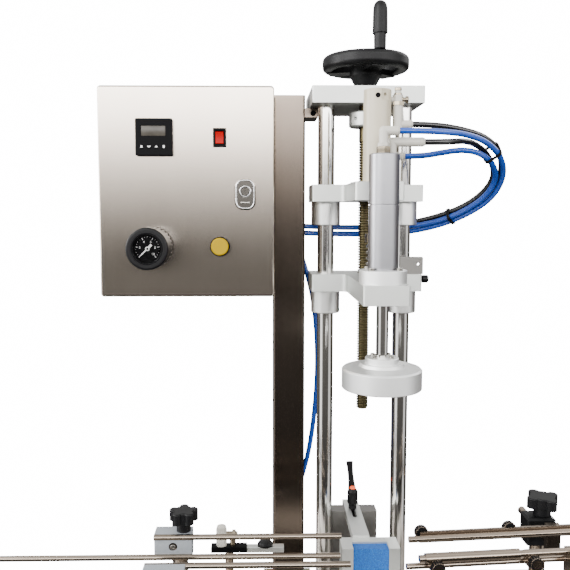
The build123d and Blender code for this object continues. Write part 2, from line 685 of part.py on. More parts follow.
with BuildPart() as regulator_knob:
    with BuildSketch(Plane.XZ.offset(-(door_front - 8.6))):
        with Locations((gx, gz)):
            Circle(29)
            with PolarLocations(29, 30):
                Rectangle(2.4, 2.8, mode=Mode.SUBTRACT)
            Circle(21.6, mode=Mode.SUBTRACT)
    extrude(amount=24)
    # Smooth front ring
    with BuildSketch(Plane.XZ.offset(-(door_front - 32.6))):
        with Locations((gx, gz)):
            Circle(29)
            Circle(21.6, mode=Mode.SUBTRACT)
    extrude(amount=27)
    fillet(regulator_knob.edges().group_by(Axis.Y)[0].sort_by(Edge.length)[-1:], 3)
save(regulator_knob.part, "regulator_knob")

dial_back = door_front - 52
with BuildPart() as gauge_case:
    crosswise(gx, gz, door_front - 59, door_front - 28, 21.2)
    crosswise(gx, gz, door_front - 60, dial_back, 19.2, Mode.SUBTRACT)
    crosswise(gx, gz, door_front - 60, door_front - 56, 20.2, Mode.SUBTRACT)
    crosswise(gx, gz, dial_back - 1.5, dial_back, 1.2)
    crosswise(gx, gz, dial_back + 10, door_front - 20, 10.2, Mode.SUBTRACT)
save(gauge_case.part, "gauge_case")

with BuildPart() as gauge_needle:
    # Pointer towards the low end of the scale, with a broad tail
    low_end = radians(225)
    needle_plane = Plane(
        origin=(gx, dial_back - 1, gz), x_dir=(cos(low_end), 0, sin(low_end)), z_dir=(0, -1, 0)
    )
    with BuildSketch(needle_plane):
        with BuildLine():
            Polyline((-8, -1.8), (0, -1.2), (16, -0.4), (16, 0.4), (0, 1.2), (-8, 1.8), close=True)
        make_face()
        Circle(3)
        Circle(1.5, mode=Mode.SUBTRACT)
    extrude(amount=0.8)
save(gauge_needle.part, "gauge_needle")

with BuildPart() as gauge_lens:
    crosswise(gx, gz, door_front - 58, door_front - 56, 20.2)
save(gauge_lens.part, "gauge_lens")

# Bottle holder: post, sliding arm with the cradle, pad and clamping lever

ARM_WIDTH = 25
ARM_THICKNESS = 12
LEVER_Y = 197
STUD_END = HOLDER_POST_TOP - ARM_THICKNESS - 9
with BuildPart() as holder_post:
    box_between((-45, 185, DECK_TOP), (28, 210, HOLDER_POST_TOP))
    chamfer(holder_post.edges().filter_by(Axis.Z), 1)
    box_between(
        (HOLDER_X - ARM_WIDTH / 2 - 0.1, 184, HOLDER_POST_TOP - ARM_THICKNESS),
        (HOLDER_X + ARM_WIDTH / 2 + 0.1, 211, HOLDER_POST_TOP + 1),
        Mode.SUBTRACT,
    )
    upright(HOLDER_X, LEVER_Y, STUD_END - 1, HOLDER_POST_TOP, 3 + RUNNING_FIT, Mode.SUBTRACT)
save(holder_post.part, "holder_post")

with BuildPart() as holder_arm:
    box_between(
        (HOLDER_X - ARM_WIDTH / 2, CRADLE_BACK - 1, HOLDER_POST_TOP - ARM_THICKNESS),
        (HOLDER_X + ARM_WIDTH / 2, 232, HOLDER_POST_TOP),
    )
    with BuildSketch(Plane.XY.offset(HOLDER_POST_TOP)):
        with Locations((HOLDER_X, LEVER_Y - 5)):
            SlotOverall(60, 7, rotation=90)
    extrude(amount=-ARM_THICKNESS, mode=Mode.SUBTRACT)
    # Cradle: an upright block, hollowed for the pad
    with BuildSketch(Plane.XY.offset(8)):
        with Locations((0, (CRADLE_BACK + CRADLE_FRONT) / 2)):
            Rectangle(CRADLE_WIDTH, CRADLE_BACK - CRADLE_FRONT)
        with Locations((0, (CRADLE_BACK - 14 + CRADLE_FRONT) / 2)):
            Rectangle(PAD_WIDTH, CRADLE_BACK - 14 - CRADLE_FRONT, mode=Mode.SUBTRACT)
    extrude(amount=CRADLE_TOP - 8)
save(holder_arm.part, "holder_arm")

with BuildPart() as holder_pad:
    with BuildSketch(Plane.XY.offset(12)):
        with Locations((0, (CRADLE_BACK - 14 + CRADLE_FRONT) / 2)):
            Rectangle(PAD_WIDTH, CRADLE_BACK - 14 - CRADLE_FRONT)
        Circle(BOTTLE_RADIUS, mode=Mode.SUBTRACT)
    extrude(amount=CRADLE_TOP - 3 - 12)
save(holder_pad.part, "holder_pad")

with BuildPart() as clamp_lever:
    hub_low = HOLDER_POST_TOP + 0.3
    with BuildSketch(turning_plane(HOLDER_X, LEVER_Y)):
        with BuildLine():
            Polyline(
                (0, STUD_END), (3, STUD_END), (3, hub_low), (6.5, hub_low), (6.5, hub_low + 6),
                (8.5, hub_low + 10), (8.5, hub_low + 28), (5.5, hub_low + 33), (0, hub_low + 33), close=True,
            )
        make_face()
    revolve(axis=Axis((HOLDER_X, LEVER_Y, 0), (0, 0, 1)))
    # Arm that rises to the rear, broad at the hub and narrow at its end
    arm_root = Plane(origin=(HOLDER_X, LEVER_Y + 3, hub_low + 24), x_dir=(1, 0, 0), z_dir=(0, 0.72, 0.69))
    with BuildSketch(arm_root):
        RectangleRounded(15, 12, 4)
    with BuildSketch(arm_root.offset(20)):
        RectangleRounded(10, 9, 3)
    with BuildSketch(arm_root.offset(54)):
        RectangleRounded(11.5, 9, 3.5)
    loft()
save(clamp_lever.part, "clamp_lever")

# Guide rails: stands on the deck, sliding rails on them, and star knobs

LEFT_BLOCK_X = -283.5
RIGHT_BLOCK_X = 267.5
BLOCK_WIDTH = 53
BLOCK_HEIGHT = 36
BLOCK_DEPTH = 25
BLOCK_CENTRE_Z = (RAIL_TOP_Z + RAIL_LOW_Z) / 2
REAR_STAND_Y = 134
FRONT_STAND_Y = -116
RIGHT_CROSS_Z = 117
KNOB_STUD = 4


def stand(x, y, rod_front, rod_back, rod_z):
    """A round stand with a foot flange and a fixed cross rod through its head."""
    upright(x, y, DECK_TOP, rod_z + 12, 12)
    upright(x, y, DECK_TOP, DECK_TOP + 8, 20)
    crosswise(x, rod_z, rod_front, rod_back, CROSS_ROD_DIAMETER / 2)


black_block_z = (86, 128)
with BuildPart() as guide_stands:
    stand(LEFT_BLOCK_X, REAR_STAND_Y, RAIL_REAR_Y + 5, REAR_STAND_Y + 20, CROSS_ROD_Z)
    stand(LEFT_BLOCK_X, FRONT_STAND_Y, FRONT_STAND_Y - 17, RAIL_FRONT_Y - 5, CROSS_ROD_Z)
    stand(RIGHT_BLOCK_X, FRONT_STAND_Y, FRONT_STAND_Y - 17, -22, RIGHT_CROSS_Z)
    upright(RIGHT_BLOCK_X, 129, DECK_TOP, black_block_z[0], 12)
    upright(RIGHT_BLOCK_X, 129, DECK_TOP, DECK_TOP + 8, 20)
save(guide_stands.part, "guide_stands")

with BuildPart() as clamp_block:
    box_between((RIGHT_BLOCK_X - 22, 112, black_block_z[0]), (RIGHT_BLOCK_X + 22, 146, black_block_z[1]))
    fillet(clamp_block.edges().filter_by(Axis.Z), 4)
    chamfer(clamp_block.faces().sort_by(Axis.Z)[-1].edges(), 3)
    crosswise(
        RIGHT_BLOCK_X, 106, 111, 147, CROSS_ROD_DIAMETER / 2 + RUNNING_FIT, Mode.SUBTRACT
    )
    upright(
        RIGHT_BLOCK_X + 6, 129, black_block_z[1] - 11, black_block_z[1], KNOB_STUD + 0.1, Mode.SUBTRACT
    )
save(clamp_block.part, "clamp_block")


def rail_block(x, front, back, knob_x, knob_side):
    """The aluminium block between two rails, bored for the cross rod and the knob's stud."""
    low = BLOCK_CENTRE_Z - BLOCK_HEIGHT / 2
    high = BLOCK_CENTRE_Z + BLOCK_HEIGHT / 2
    box_between((x - BLOCK_WIDTH / 2, front, low), (x + BLOCK_WIDTH / 2, back, high))
    crosswise(x, CROSS_ROD_Z, front, back, CROSS_ROD_DIAMETER / 2 + RUNNING_FIT, Mode.SUBTRACT)
    stud_span = (high - 10, high) if knob_side > 0 else (low, low + 10)
    upright(knob_x, (front + back) / 2, *stud_span, KNOB_STUD + 0.1, Mode.SUBTRACT)


KNOB_SHIFT = 14
rear_block_front = RAIL_REAR_Y + 2
front_block_back = RAIL_FRONT_Y - 2
with BuildPart() as guide_left_rear:
    rail_block(
        LEFT_BLOCK_X, rear_block_front, rear_block_front + BLOCK_DEPTH, LEFT_BLOCK_X + KNOB_SHIFT, 1
    )
    lengthwise(-310, RAIL_REAR_Y, RAIL_TOP_Z, 264, RAIL_DIAMETER / 2)
    lengthwise(-560, RAIL_REAR_Y, RAIL_LOW_Z, 513, RAIL_DIAMETER / 2)
save(guide_left_rear.part, "guide_left_rear")

with BuildPart() as guide_left_front:
    rail_block(
        LEFT_BLOCK_X, front_block_back - BLOCK_DEPTH, front_block_back, LEFT_BLOCK_X + KNOB_SHIFT, -1
    )
    lengthwise(-310, RAIL_FRONT_Y, RAIL_TOP_Z, 267, RAIL_DIAMETER / 2)
    lengthwise(-310, RAIL_FRONT_Y, RAIL_LOW_Z, 267, RAIL_DIAMETER / 2)
save(guide_left_front.part, "guide_left_front")

# Right rear rail: a round rod on a flat bar, with the cross rod fixed to it
rise = tan(radians(RAIL_TURN))
right_rail_z = 129.5
RIGHT_RAIL_START = 50
RIGHT_RAIL_LENGTH = 290
THUMB_SCREWS = (22, 153)
with BuildPart() as guide_right_rear:
    lengthwise(RIGHT_RAIL_START, RAIL_REAR_Y, right_rail_z, RIGHT_RAIL_LENGTH, 4.5, RAIL_TURN)
    with Locations(Location((RIGHT_RAIL_START, RAIL_REAR_Y, right_rail_z), (0, 0, RAIL_TURN))):
        with Locations((18, 4, -8)):
            Box(RIGHT_RAIL_LENGTH - 18, 4, 16, align=(Align.MIN, Align.MIN, Align.MIN))
        for along in THUMB_SCREWS:
            with Locations((along, 7.5, 4)):
                Cylinder(9.5, 9, rotation=(-90, 0, 0), align=(Align.CENTER, Align.CENTER, Align.MIN))
    rod_root = RAIL_REAR_Y + (RIGHT_BLOCK_X - RIGHT_RAIL_START) * rise
    box_between((RIGHT_BLOCK_X - 10, rod_root + 5, 98), (RIGHT_BLOCK_X + 10, rod_root + 16, 137))
    crosswise(RIGHT_BLOCK_X, 106, rod_root + 14, 196, CROSS_ROD_DIAMETER / 2)
save(guide_right_rear.part, "guide_right_rear")

# Right front rail: a sleeved rod, a second rod under it, joined by saddles and the block
with BuildPart() as guide_right_front:
    upper_rail = Location((45, RAIL_FRONT_Y - 5, 145), (0, 0, RAIL_TURN))
    lengthwise(45, RAIL_FRONT_Y - 5, 145, 295, 4.5, RAIL_TURN)
    lengthwise(53, RAIL_FRONT_Y - 5 + 8 * rise, 145, 127, 6.5, RAIL_TURN)
    lengthwise(30, RAIL_FRONT_Y + 2, 131, 310, 4, RAIL_TURN)
    with Locations(upper_rail):
        for along in THUMB_SCREWS:
            with Locations((along, 2, -8)):
                Box(14, 14, 18)
            with Locations((along, -5, -9)):
                Cylinder(8.5, 10, rotation=(90, 0, 0), align=(Align.CENTER, Align.CENTER, Align.MIN))
    block_back = RAIL_FRONT_Y - 5 + (RIGHT_BLOCK_X - 45) * rise + 8
    low = BLOCK_CENTRE_Z - BLOCK_HEIGHT / 2
    box_between((RIGHT_BLOCK_X - 22, block_back - 30, low), (RIGHT_BLOCK_X + 22, block_back, low + 44))
    crosswise(
        RIGHT_BLOCK_X, RIGHT_CROSS_Z, block_back - 32, block_back + 8,
        CROSS_ROD_DIAMETER / 2 + RUNNING_FIT, Mode.SUBTRACT,
    )
    upright(RIGHT_BLOCK_X + KNOB_SHIFT, block_back - 15, low, low + 10, KNOB_STUD + 0.1, Mode.SUBTRACT)
save(guide_right_front.part, "guide_right_front")


def star_knob(x, y, seat, radius, lobes, direction):
    """A moulded knob with round lobes, its neck on a seat and its stud going in."""
    head_low = seat + direction * 14.3
    with BuildSketch(Plane.XY.offset(head_low)) as head:
        with Locations((x, y)):
            Circle(radius * 0.7)
            with PolarLocations(radius * 0.68, lobes, start_angle=20):
                Circle(radius * 0.32)
    extrude(head.sketch, amount=direction * 16)
    rim = faces().sort_by(Axis.Z)[-1 if direction > 0 else 0].outer_wire().edges()
    fillet(rim, 2)
    neck = sorted((seat + direction * 0.3, head_low + direction))
    upright(x, y, *neck, radius * 0.48)
    stud = sorted((seat - direction * 9, seat + direction))
    upright(x, y, *stud, KNOB_STUD)


block_top = BLOCK_CENTRE_Z + BLOCK_HEIGHT / 2
block_low = BLOCK_CENTRE_Z - BLOCK_HEIGHT / 2
KNOBS = {
    "knob_left_rear": (LEFT_BLOCK_X + KNOB_SHIFT, rear_block_front + BLOCK_DEPTH / 2, block_top, 21, 5, 1),
    "knob_left_front": (LEFT_BLOCK_X + KNOB_SHIFT, front_block_back - BLOCK_DEPTH / 2, block_low, 21, 5, -1),
    "knob_right_rear": (RIGHT_BLOCK_X + 6, 129, black_block_z[1], 27, 4, 1),
    "knob_right_front": (RIGHT_BLOCK_X + KNOB_SHIFT, block_back - 15, block_low, 21, 5, -1),
}
for knob_name, knob_values in KNOBS.items():
    with BuildPart() as knob:
        star_knob(*knob_values)
    save(knob.part, knob_name)

# Air hoses: straight runs joined by arcs as large as the runs allow

HOSES = {
    "hose_blue_motor": [
        (16, -3, 695), (48, -3, 695), (82, 8, 695), (115, 28, 694), (149, 48, 686), (179, 75, 666),
        (192, 106, 640), (185, 135, 612), (159, 162, 589), (124, 187, 572), (81, 204, 561),
        (30, 207, 557), (-36, 208, 557), (-96, 209, 559),
    ],
    "hose_black_motor": [
        (51, 8, 682), (74, 8, 682), (96, 20, 684), (115, 40, 687), (138, 61, 684), (163, 85, 671), (182, 114, 646),
        (175, 139, 622), (153, 164, 601), (120, 187, 586), (79, 206, 575), (30, 216, 569),
        (-36, 219, 567), (-96, 219, 570),
    ],
    "hose_black_cylinder": [
        (46, 60, 711), (76, 60, 711), (112, 55, 705), (149, 58, 695), (178, 83, 676), (192, 115, 648),
        (185, 142, 619), (160, 169, 596), (125, 193, 580), (82, 213, 566), (30, 218, 558),
        (-36, 219, 557), (-96, 219, 559),
    ],
    "hose_blue_return": [
        (36, 60, 668), (62, 60, 668), (90, 59, 673), (118, 57, 677), (144, 60, 672), (168, 80, 659),
        (182, 107, 639), (175, 132, 615), (152, 157, 594), (119, 181, 578), (78, 199, 569),
        (30, 206, 568), (-36, 208, 567), (-96, 208, 570),
    ],
    "hose_drop": [
        (-93, 228.5, 522), (-83, 228.5, 492), (-73, 228, 450), (-67, 226, 392), (-66, 224, 332),
        (-70, 222, 272), (-77, 222, 215), (-86, 222, 172), (-96, 222, 140),
    ],
}


def arc_radii(points):
    """The radius at each corner: 0.45 of the shorter run, over the tangent of half the turn."""
    radii = []
    for before, corner, after in zip(points, points[1:], points[2:]):
        run_in = Vector(*corner) - Vector(*before)
        run_out = Vector(*after) - Vector(*corner)
        half_turn = radians(run_in.get_angle(run_out)) / 2
        radii.append(0.45 * min(run_in.length, run_out.length) / tan(half_turn))
    return radii


for hose_name, points in HOSES.items():
    radii = arc_radii(points)
    with BuildPart() as hose:
        with BuildLine() as route:
            FilletPolyline(*points, radius=radii)
        with BuildSketch(Plane(origin=points[0], z_dir=Vector(*points[1]) - Vector(*points[0]))):
            Circle(HOSE_DIAMETER / 2)
        sweep(path=route.line)
    length = sum(edge.length for edge in route.edges())
    ideal = length * pi * (HOSE_DIAMETER / 2) ** 2
    print(hose_name, "length", round(length), "volume ratio", round(hose.part.volume / ideal, 4))
    print("  radii", [round(radius) for radius in radii])
    save(hose.part, hose_name)
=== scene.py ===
"""Looks of a bench-top bottle capping machine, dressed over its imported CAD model."""

import math

import bmesh
import bpy
from mathutils import Matrix, Vector


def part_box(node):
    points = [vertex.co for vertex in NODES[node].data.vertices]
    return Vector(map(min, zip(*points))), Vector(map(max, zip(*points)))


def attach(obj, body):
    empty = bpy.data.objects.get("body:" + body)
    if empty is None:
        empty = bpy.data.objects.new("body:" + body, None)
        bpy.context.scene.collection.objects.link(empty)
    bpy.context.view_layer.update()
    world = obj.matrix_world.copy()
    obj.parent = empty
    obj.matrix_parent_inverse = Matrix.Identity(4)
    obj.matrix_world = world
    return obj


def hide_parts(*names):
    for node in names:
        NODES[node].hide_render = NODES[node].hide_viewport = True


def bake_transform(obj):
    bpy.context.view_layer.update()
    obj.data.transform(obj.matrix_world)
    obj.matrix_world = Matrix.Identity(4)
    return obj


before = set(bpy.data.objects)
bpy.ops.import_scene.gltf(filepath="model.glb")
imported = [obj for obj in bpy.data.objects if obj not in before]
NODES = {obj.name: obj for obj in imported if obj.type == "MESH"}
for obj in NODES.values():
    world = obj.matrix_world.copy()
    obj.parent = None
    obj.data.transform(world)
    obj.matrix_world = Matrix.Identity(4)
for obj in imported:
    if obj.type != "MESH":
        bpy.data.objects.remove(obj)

bl_info = {
    "name": "Bottle capping machine",
    "version": (1, 0, 0),
    "blender": (4, 5, 0),
    "location": "3D View > Sidebar > Capping machine",
    "description": "Finishes, hoses, screws and dials of a bench-top bottle capping machine",
    "category": "Object",
}

MM = 0.001
UP = Vector((0, 0, 1))
FORWARD = Vector((0, -1, 0))
RIGHT = Vector((1, 0, 0))

# The photograph's point of view
CAMERA_PLACE = (-0.15965, -0.89953, 0.58959)
CAMERA_PITCH = 4.829
CAMERA_YAW = 1.169
CAMERA_LENS = 43.95
CAMERA_SHIFT = (0.0185, -0.0220)

# Middles of the fittings on the door, across and up, and the depths of their faces
DOOR_FRONT = 101
TIMER_PLACE = (-309, 697)
TIMER_FRONT = DOOR_FRONT - 9
GAUGE_PLACE = (-313, 542)
DIAL_FACE = DOOR_FRONT - 52
GAUGE_RING_BACK = DOOR_FRONT - 57.8
LATCH_PLACE = (-181, 617)
LATCH_FRONT = DOOR_FRONT - 5
PRINT_DEPTH = 0.12
# Where the dial's scale starts and how far it sweeps, in degrees
DIAL_START, DIAL_SWEEP = 225, 270

# Left guides: the block's ends, and the rods' radius, heights and rows
BLOCK_ENDS = (-310, -257)
ROD_RADIUS = 4
ROD_HEIGHTS = (136, 107)
REAR_ROW, FRONT_ROW = 47, -33
# Right guides: how far they slant from straight across, in degrees
RIGHT_SLANT = 4.7
SENSOR_ROW = 94
DECK_HEIGHT = 80

HOSE_RADIUS = 4
# Where the two ties hold the bundle of hoses
TIE_PLACES = ((168, 68, 677), (135, 177, 586))
COLUMN_AXIS_Y = 172

# Pale floor: its radius in metres, and where it fades out in millimetres
FLOOR_RADIUS = 0.48
FLOOR_FADE = (300, 460)
FLOOR_MIDDLE_X = -0.04

# The studio's light: the sine of the height above the horizon, and the brightness there
LOWEST_LIGHT, HIGHEST_LIGHT = -0.5, 0.75
FRONT_LIGHT = (
    (-0.5, 0.03), (-0.37, 0.05), (-0.25, 0.13), (-0.13, 0.2), (-0.066, 0.03), (-0.03, 0.02), (-0.005, 0.3),
    (0.02, 0.7), (0.06, 1.4), (0.09, 3.2), (0.178, 15), (0.25, 15), (0.35, 4), (0.6, 1.6),
)
SIDE_LIGHT = ((-0.5, 0.06), (-0.25, 0.09), (0, 0.12), (0.1, 0.25), (0.3, 1.1), (0.6, 1.6))
# Bearings, in radians from straight ahead, where the front light has ended and where it is full
FRONT_SECTOR = (1.5, 0.75)
# Upright strip lights: bearing and brightness, and how far from its middle each ends and is full
STRIP_LIGHTS = ((-1.05, 2.5), (1.15, 1.3))
STRIP_EDGE = (0.42, 0.1)
BACKDROP_BRIGHTNESS = 16
# Soft lamps: place, size in metres, and share of the key light's power
LAMPS = {
    "key_light": ((-2.1, -1.5, 1.9), (1.4, 1.4), 1),
    "side_light": ((-2.3, 0.1, 0.95), (0.8, 1.2), 1),
    "rim_light": ((1.9, 1.3, 2.0), (0.8, 1.6), 0.25),
}
LAMP_AIM = (-0.1, 0.1, 0.45)

# Routes of the air hoses, the same points as in the part's source
HOSE_ROUTES = {
    "blue_motor": [
        (16, -3, 695), (48, -3, 695), (82, 8, 695), (115, 28, 694), (149, 48, 686), (179, 75, 666),
        (192, 106, 640), (185, 135, 612), (159, 162, 589), (124, 187, 572), (81, 204, 561),
        (30, 207, 557), (-36, 208, 557), (-96, 209, 559),
    ],
    "black_motor": [
        (51, 8, 682), (74, 8, 682), (96, 20, 684), (115, 40, 687), (138, 61, 684), (163, 85, 671),
        (182, 114, 646), (175, 139, 622), (153, 164, 601), (120, 187, 586), (79, 206, 575),
        (30, 216, 569), (-36, 219, 567), (-96, 219, 570),
    ],
    "black_cylinder": [
        (46, 60, 711), (76, 60, 711), (112, 55, 705), (149, 58, 695), (178, 83, 676), (192, 115, 648),
        (185, 142, 619), (160, 169, 596), (125, 193, 580), (82, 213, 566), (30, 218, 558),
        (-36, 219, 557), (-96, 219, 559),
    ],
    "blue_return": [
        (36, 60, 668), (62, 60, 668), (90, 59, 673), (118, 57, 677), (144, 60, 672), (168, 80, 659),
        (182, 107, 639), (175, 132, 615), (152, 157, 594), (119, 181, 578), (78, 199, 569),
        (30, 206, 568), (-36, 208, 567), (-96, 208, 570),
    ],
    "drop": [
        (-93, 228.5, 522), (-83, 228.5, 492), (-73, 228, 450), (-67, 226, 392), (-66, 224, 332),
        (-70, 222, 272), (-77, 222, 215), (-86, 222, 172), (-96, 222, 140),
    ],
}


def linear(hex_colour):
    """An sRGB hex value as linear red, green, blue and alpha."""
    channels = [int(hex_colour[i:i + 2], 16) / 255 for i in (1, 3, 5)]
    return [c / 12.92 if c <= 0.04045 else ((c + 0.055) / 1.055) ** 2.4 for c in channels] + [1]


def add_node(tree, kind, settings=None, inputs=None):
    """Adds a shader node, sets its properties, and fills its sockets with values, sockets or nodes."""
    node = tree.nodes.new("ShaderNode" + kind)
    for name, value in (settings or {}).items():
        setattr(node, name, value)
    for name, value in (inputs or {}).items():
        if isinstance(value, bpy.types.Node):
            value = value.outputs[0]
        if isinstance(value, bpy.types.NodeSocket):
            tree.links.new(value, node.inputs[name])
        else:
            node.inputs[name].default_value = value
    return node


# Finishes. Grains are the sizes of the marks that tools leave, in millimetres along X, Y and Z.
# Real brush and lathe lines are finer, about 0.1 mm, and are drawn coarser so that they show.
# A plastic's numbers are its roughness, the grain and depth of its texture in mm, and its gloss


def start_material(name):
    """An empty node material, its tree, and the place on the part in millimetres."""
    material = bpy.data.materials.new(name)
    material.use_nodes = True
    tree = material.node_tree
    tree.nodes.clear()
    place = add_node(tree, "TexCoord").outputs["Object"]
    in_mm = add_node(tree, "VectorMath", {"operation": "DIVIDE"}, {0: place, 1: (MM, MM, MM)})
    return material, tree, in_mm


def closed(material, kind, inputs):
    """Adds the material's last shader, of this kind, and sends it to the surface."""
    tree = material.node_tree
    add_node(tree, "OutputMaterial", None, {"Surface": add_node(tree, kind, None, inputs)})
    return material


def shade_of(tree, factor, dark, light):
    """A colour that runs from dark to light as the factor goes from 0 to 1."""
    colours = {0: factor, 6: linear(dark), 7: linear(light)}
    return add_node(tree, "Mix", {"data_type": "RGBA"}, colours).outputs[2]


def between(tree, factor, low, high):
    """A number that runs from low to high as the factor goes from 0 to 1."""
    return add_node(tree, "MapRange", None, {"Value": factor, "To Min": low, "To Max": high})


def stretched_noise(tree, place, grain, detail=3):
    """Noise whose spots measure grain, in millimetres along X, Y and Z."""
    scaled = add_node(tree, "VectorMath", {"operation": "DIVIDE"}, {0: place, 1: grain})
    return add_node(tree, "TexNoise", None, {"Vector": scaled, "Scale": 1, "Detail": detail})


def softened(tree, height, depth_mm, edge_mm):
    """A normal with the height's relief, and edges rounded as on a broken corner."""
    edge = add_node(tree, "Bevel", {"samples": 4}, {"Radius": edge_mm * MM})
    relief = {"Strength": 1, "Distance": depth_mm * MM, "Height": height, "Normal": edge}
    return add_node(tree, "Bump", None, relief)


def brushed_stainless(name, dark, light, grain, roughness):
    """Rolled stainless sheet brushed one way: reflections smear across the brush lines."""
    material, tree, place = start_material(name + ", brushed stainless")
    lines = stretched_noise(tree, place, grain, 2)
    clouds = stretched_noise(tree, place, (60, 60, 60))
    tangent = add_node(tree, "Tangent", {"direction_type": "RADIAL", "axis": "Z"})
    look = {
        "Base Color": shade_of(tree, clouds, dark, light),
        "Metallic": 1,
        "Roughness": between(tree, lines, roughness - 0.02, roughness + 0.03),
        "Anisotropic": 0.75,
        "Tangent": tangent,
        "Normal": softened(tree, lines, 0.0012, 0.8),
    }
    return closed(material, "BsdfPrincipled", look)


def polished_steel(name, colour, roughness, ring_mm=0.25):
    """Ground and hard-chromed bar: sharp reflections, with faint grinding rings round it."""
    material, tree, place = start_material(name)
    rings = stretched_noise(tree, place, (30, 30, ring_mm))
    look = {
        "Base Color": linear(colour),
        "Metallic": 1,
        "Roughness": between(tree, rings, roughness - 0.02, roughness + 0.04),
        "Normal": softened(tree, rings, 0.0006, 0.4),
    }
    return closed(material, "BsdfPrincipled", look)


def satin_aluminium(name, dark, light, roughness, grain=(3, 3, 0.35)):
    """Blasted and anodised aluminium: soft sheen, with the cutter's faint lines showing through."""
    material, tree, place = start_material(name)
    cutter = stretched_noise(tree, place, grain)
    bloom = stretched_noise(tree, place, (22, 22, 22))
    look = {
        "Base Color": shade_of(tree, bloom, dark, light),
        "Metallic": 1,
        "Roughness": between(tree, cutter, roughness - 0.03, roughness + 0.05),
        "Normal": softened(tree, cutter, 0.003, 0.7),
    }
    return closed(material, "BsdfPrincipled", look)


def moulded_plastic(name, dark, light, roughness, grain_mm=0.5, depth_mm=0.02, gloss=0.5):
    """Moulded nylon or ABS: one colour through and through, with the mould's fine spark texture."""
    material, tree, place = start_material(name)
    texture = stretched_noise(tree, place, (grain_mm,) * 3)
    handled = stretched_noise(tree, place, (14, 14, 14))
    look = {
        "Base Color": shade_of(tree, handled, dark, light),
        "Roughness": between(tree, handled, roughness - 0.06, roughness + 0.08),
        "IOR": 1.5,
        "Specular IOR Level": gloss,
        "Normal": softened(tree, texture, depth_mm, 0.6),
    }
    return closed(material, "BsdfPrincipled", look)


def extruded_tube(name, dark, light):
    """Polyurethane air hose: smooth and a little waxy, its colour varying in soft streaks."""
    material, tree, place = start_material(name)
    streaks = stretched_noise(tree, place, (9, 9, 9))
    look = {
        "Base Color": shade_of(tree, streaks, dark, light),
        "Roughness": between(tree, streaks, 0.22, 0.34),
        "IOR": 1.5,
        "Coat Weight": 0.3,
        "Coat Roughness": 0.15,
    }
    return closed(material, "BsdfPrincipled", look)


def foam_rubber(name, dark, light, speck):
    """Coarse neoprene foam: matt, pitted with open cells, each darker down into its pit as painted shade,
    and speckled with paler grains.
    """
    material, tree, place = start_material(name)
    # Cells of 2.2 mm, about twice the real ones, so that they show
    cells = add_node(tree, "TexVoronoi", None, {"Vector": place, "Scale": 0.45})
    # Painted shade: the blue darkens down into each cell's pit and lightens towards its rim
    body = shade_of(tree, cells, dark, light)
    grains = add_node(tree, "Math", {"operation": "LESS_THAN"}, {0: cells, 1: 0.22})
    speckled = add_node(tree, "Mix", {"data_type": "RGBA"}, {0: grains, 6: body, 7: linear(speck)})
    look = {
        "Base Color": speckled.outputs[2],
        "Roughness": 0.95,
        "Normal": softened(tree, cells, 0.5, 1.5),
    }
    return closed(material, "BsdfPrincipled", look)


def clear_glass(name):
    """Thin flat gauge glass: nearly invisible but for its gloss."""
    material, tree = start_material(name)[:2]
    gloss = add_node(tree, "BsdfAnisotropic", None, {"Color": (1, 1, 1, 1), "Roughness": 0.05})
    clear = add_node(tree, "BsdfTransparent")
    edge = add_node(tree, "Fresnel", None, {"IOR": 1.45})
    layers = {0: edge, 1: clear, 2: gloss}
    return closed(material, "MixShader", layers)


def rods_and_block(name, row):
    """Drawn stainless rods through a grey anodised block: each keeps its own colour and sheen, the rods'
    colour darkened and browned as painted shade.
    """
    material, tree, place = start_material(name)
    axes = add_node(tree, "SeparateXYZ", None, {0: place}).outputs
    left, right = BLOCK_ENDS
    block = {0: axes["X"], 1: (left + right) / 2, 2: (right - left) / 2 + 0.3}
    on_block = add_node(tree, "Math", {"operation": "COMPARE"}, block)
    across = add_node(tree, "CombineXYZ", None, {0: 0, 1: axes["Y"], 2: axes["Z"]})
    for height in ROD_HEIGHTS:
        ends = {0: across, 1: (0, row, height)}
        distance = add_node(tree, "VectorMath", {"operation": "DISTANCE"}, ends).outputs["Value"]
        off_rod = add_node(tree, "Math", {"operation": "GREATER_THAN"}, {0: distance, 1: ROD_RADIUS + 0.2})
        on_block = add_node(tree, "Math", {"operation": "MULTIPLY"}, {0: on_block, 1: off_rod})
    grit = stretched_noise(tree, place, (1.5, 1.5, 1.5))
    draw_lines = stretched_noise(tree, place, (60, 0.5, 0.5))
    # Painted shade: the rods' steel darkened and browned to stand for the dim, warm surroundings they
    # reflect
    steel = shade_of(tree, draw_lines, "#83786C", "#91867A")
    anodised = shade_of(tree, grit, "#8F959B", "#A3A8AD")
    finish = add_node(tree, "Mix", {"data_type": "RGBA"}, {0: on_block, 6: steel, 7: anodised})
    look = {
        "Base Color": finish.outputs[2],
        "Metallic": between(tree, on_block, 1, 0.6),
        "Roughness": between(tree, on_block, 0.17, 0.5),
        "Normal": softened(tree, grit, 0.001, 0.6),
    }
    return closed(material, "BsdfPrincipled", look)


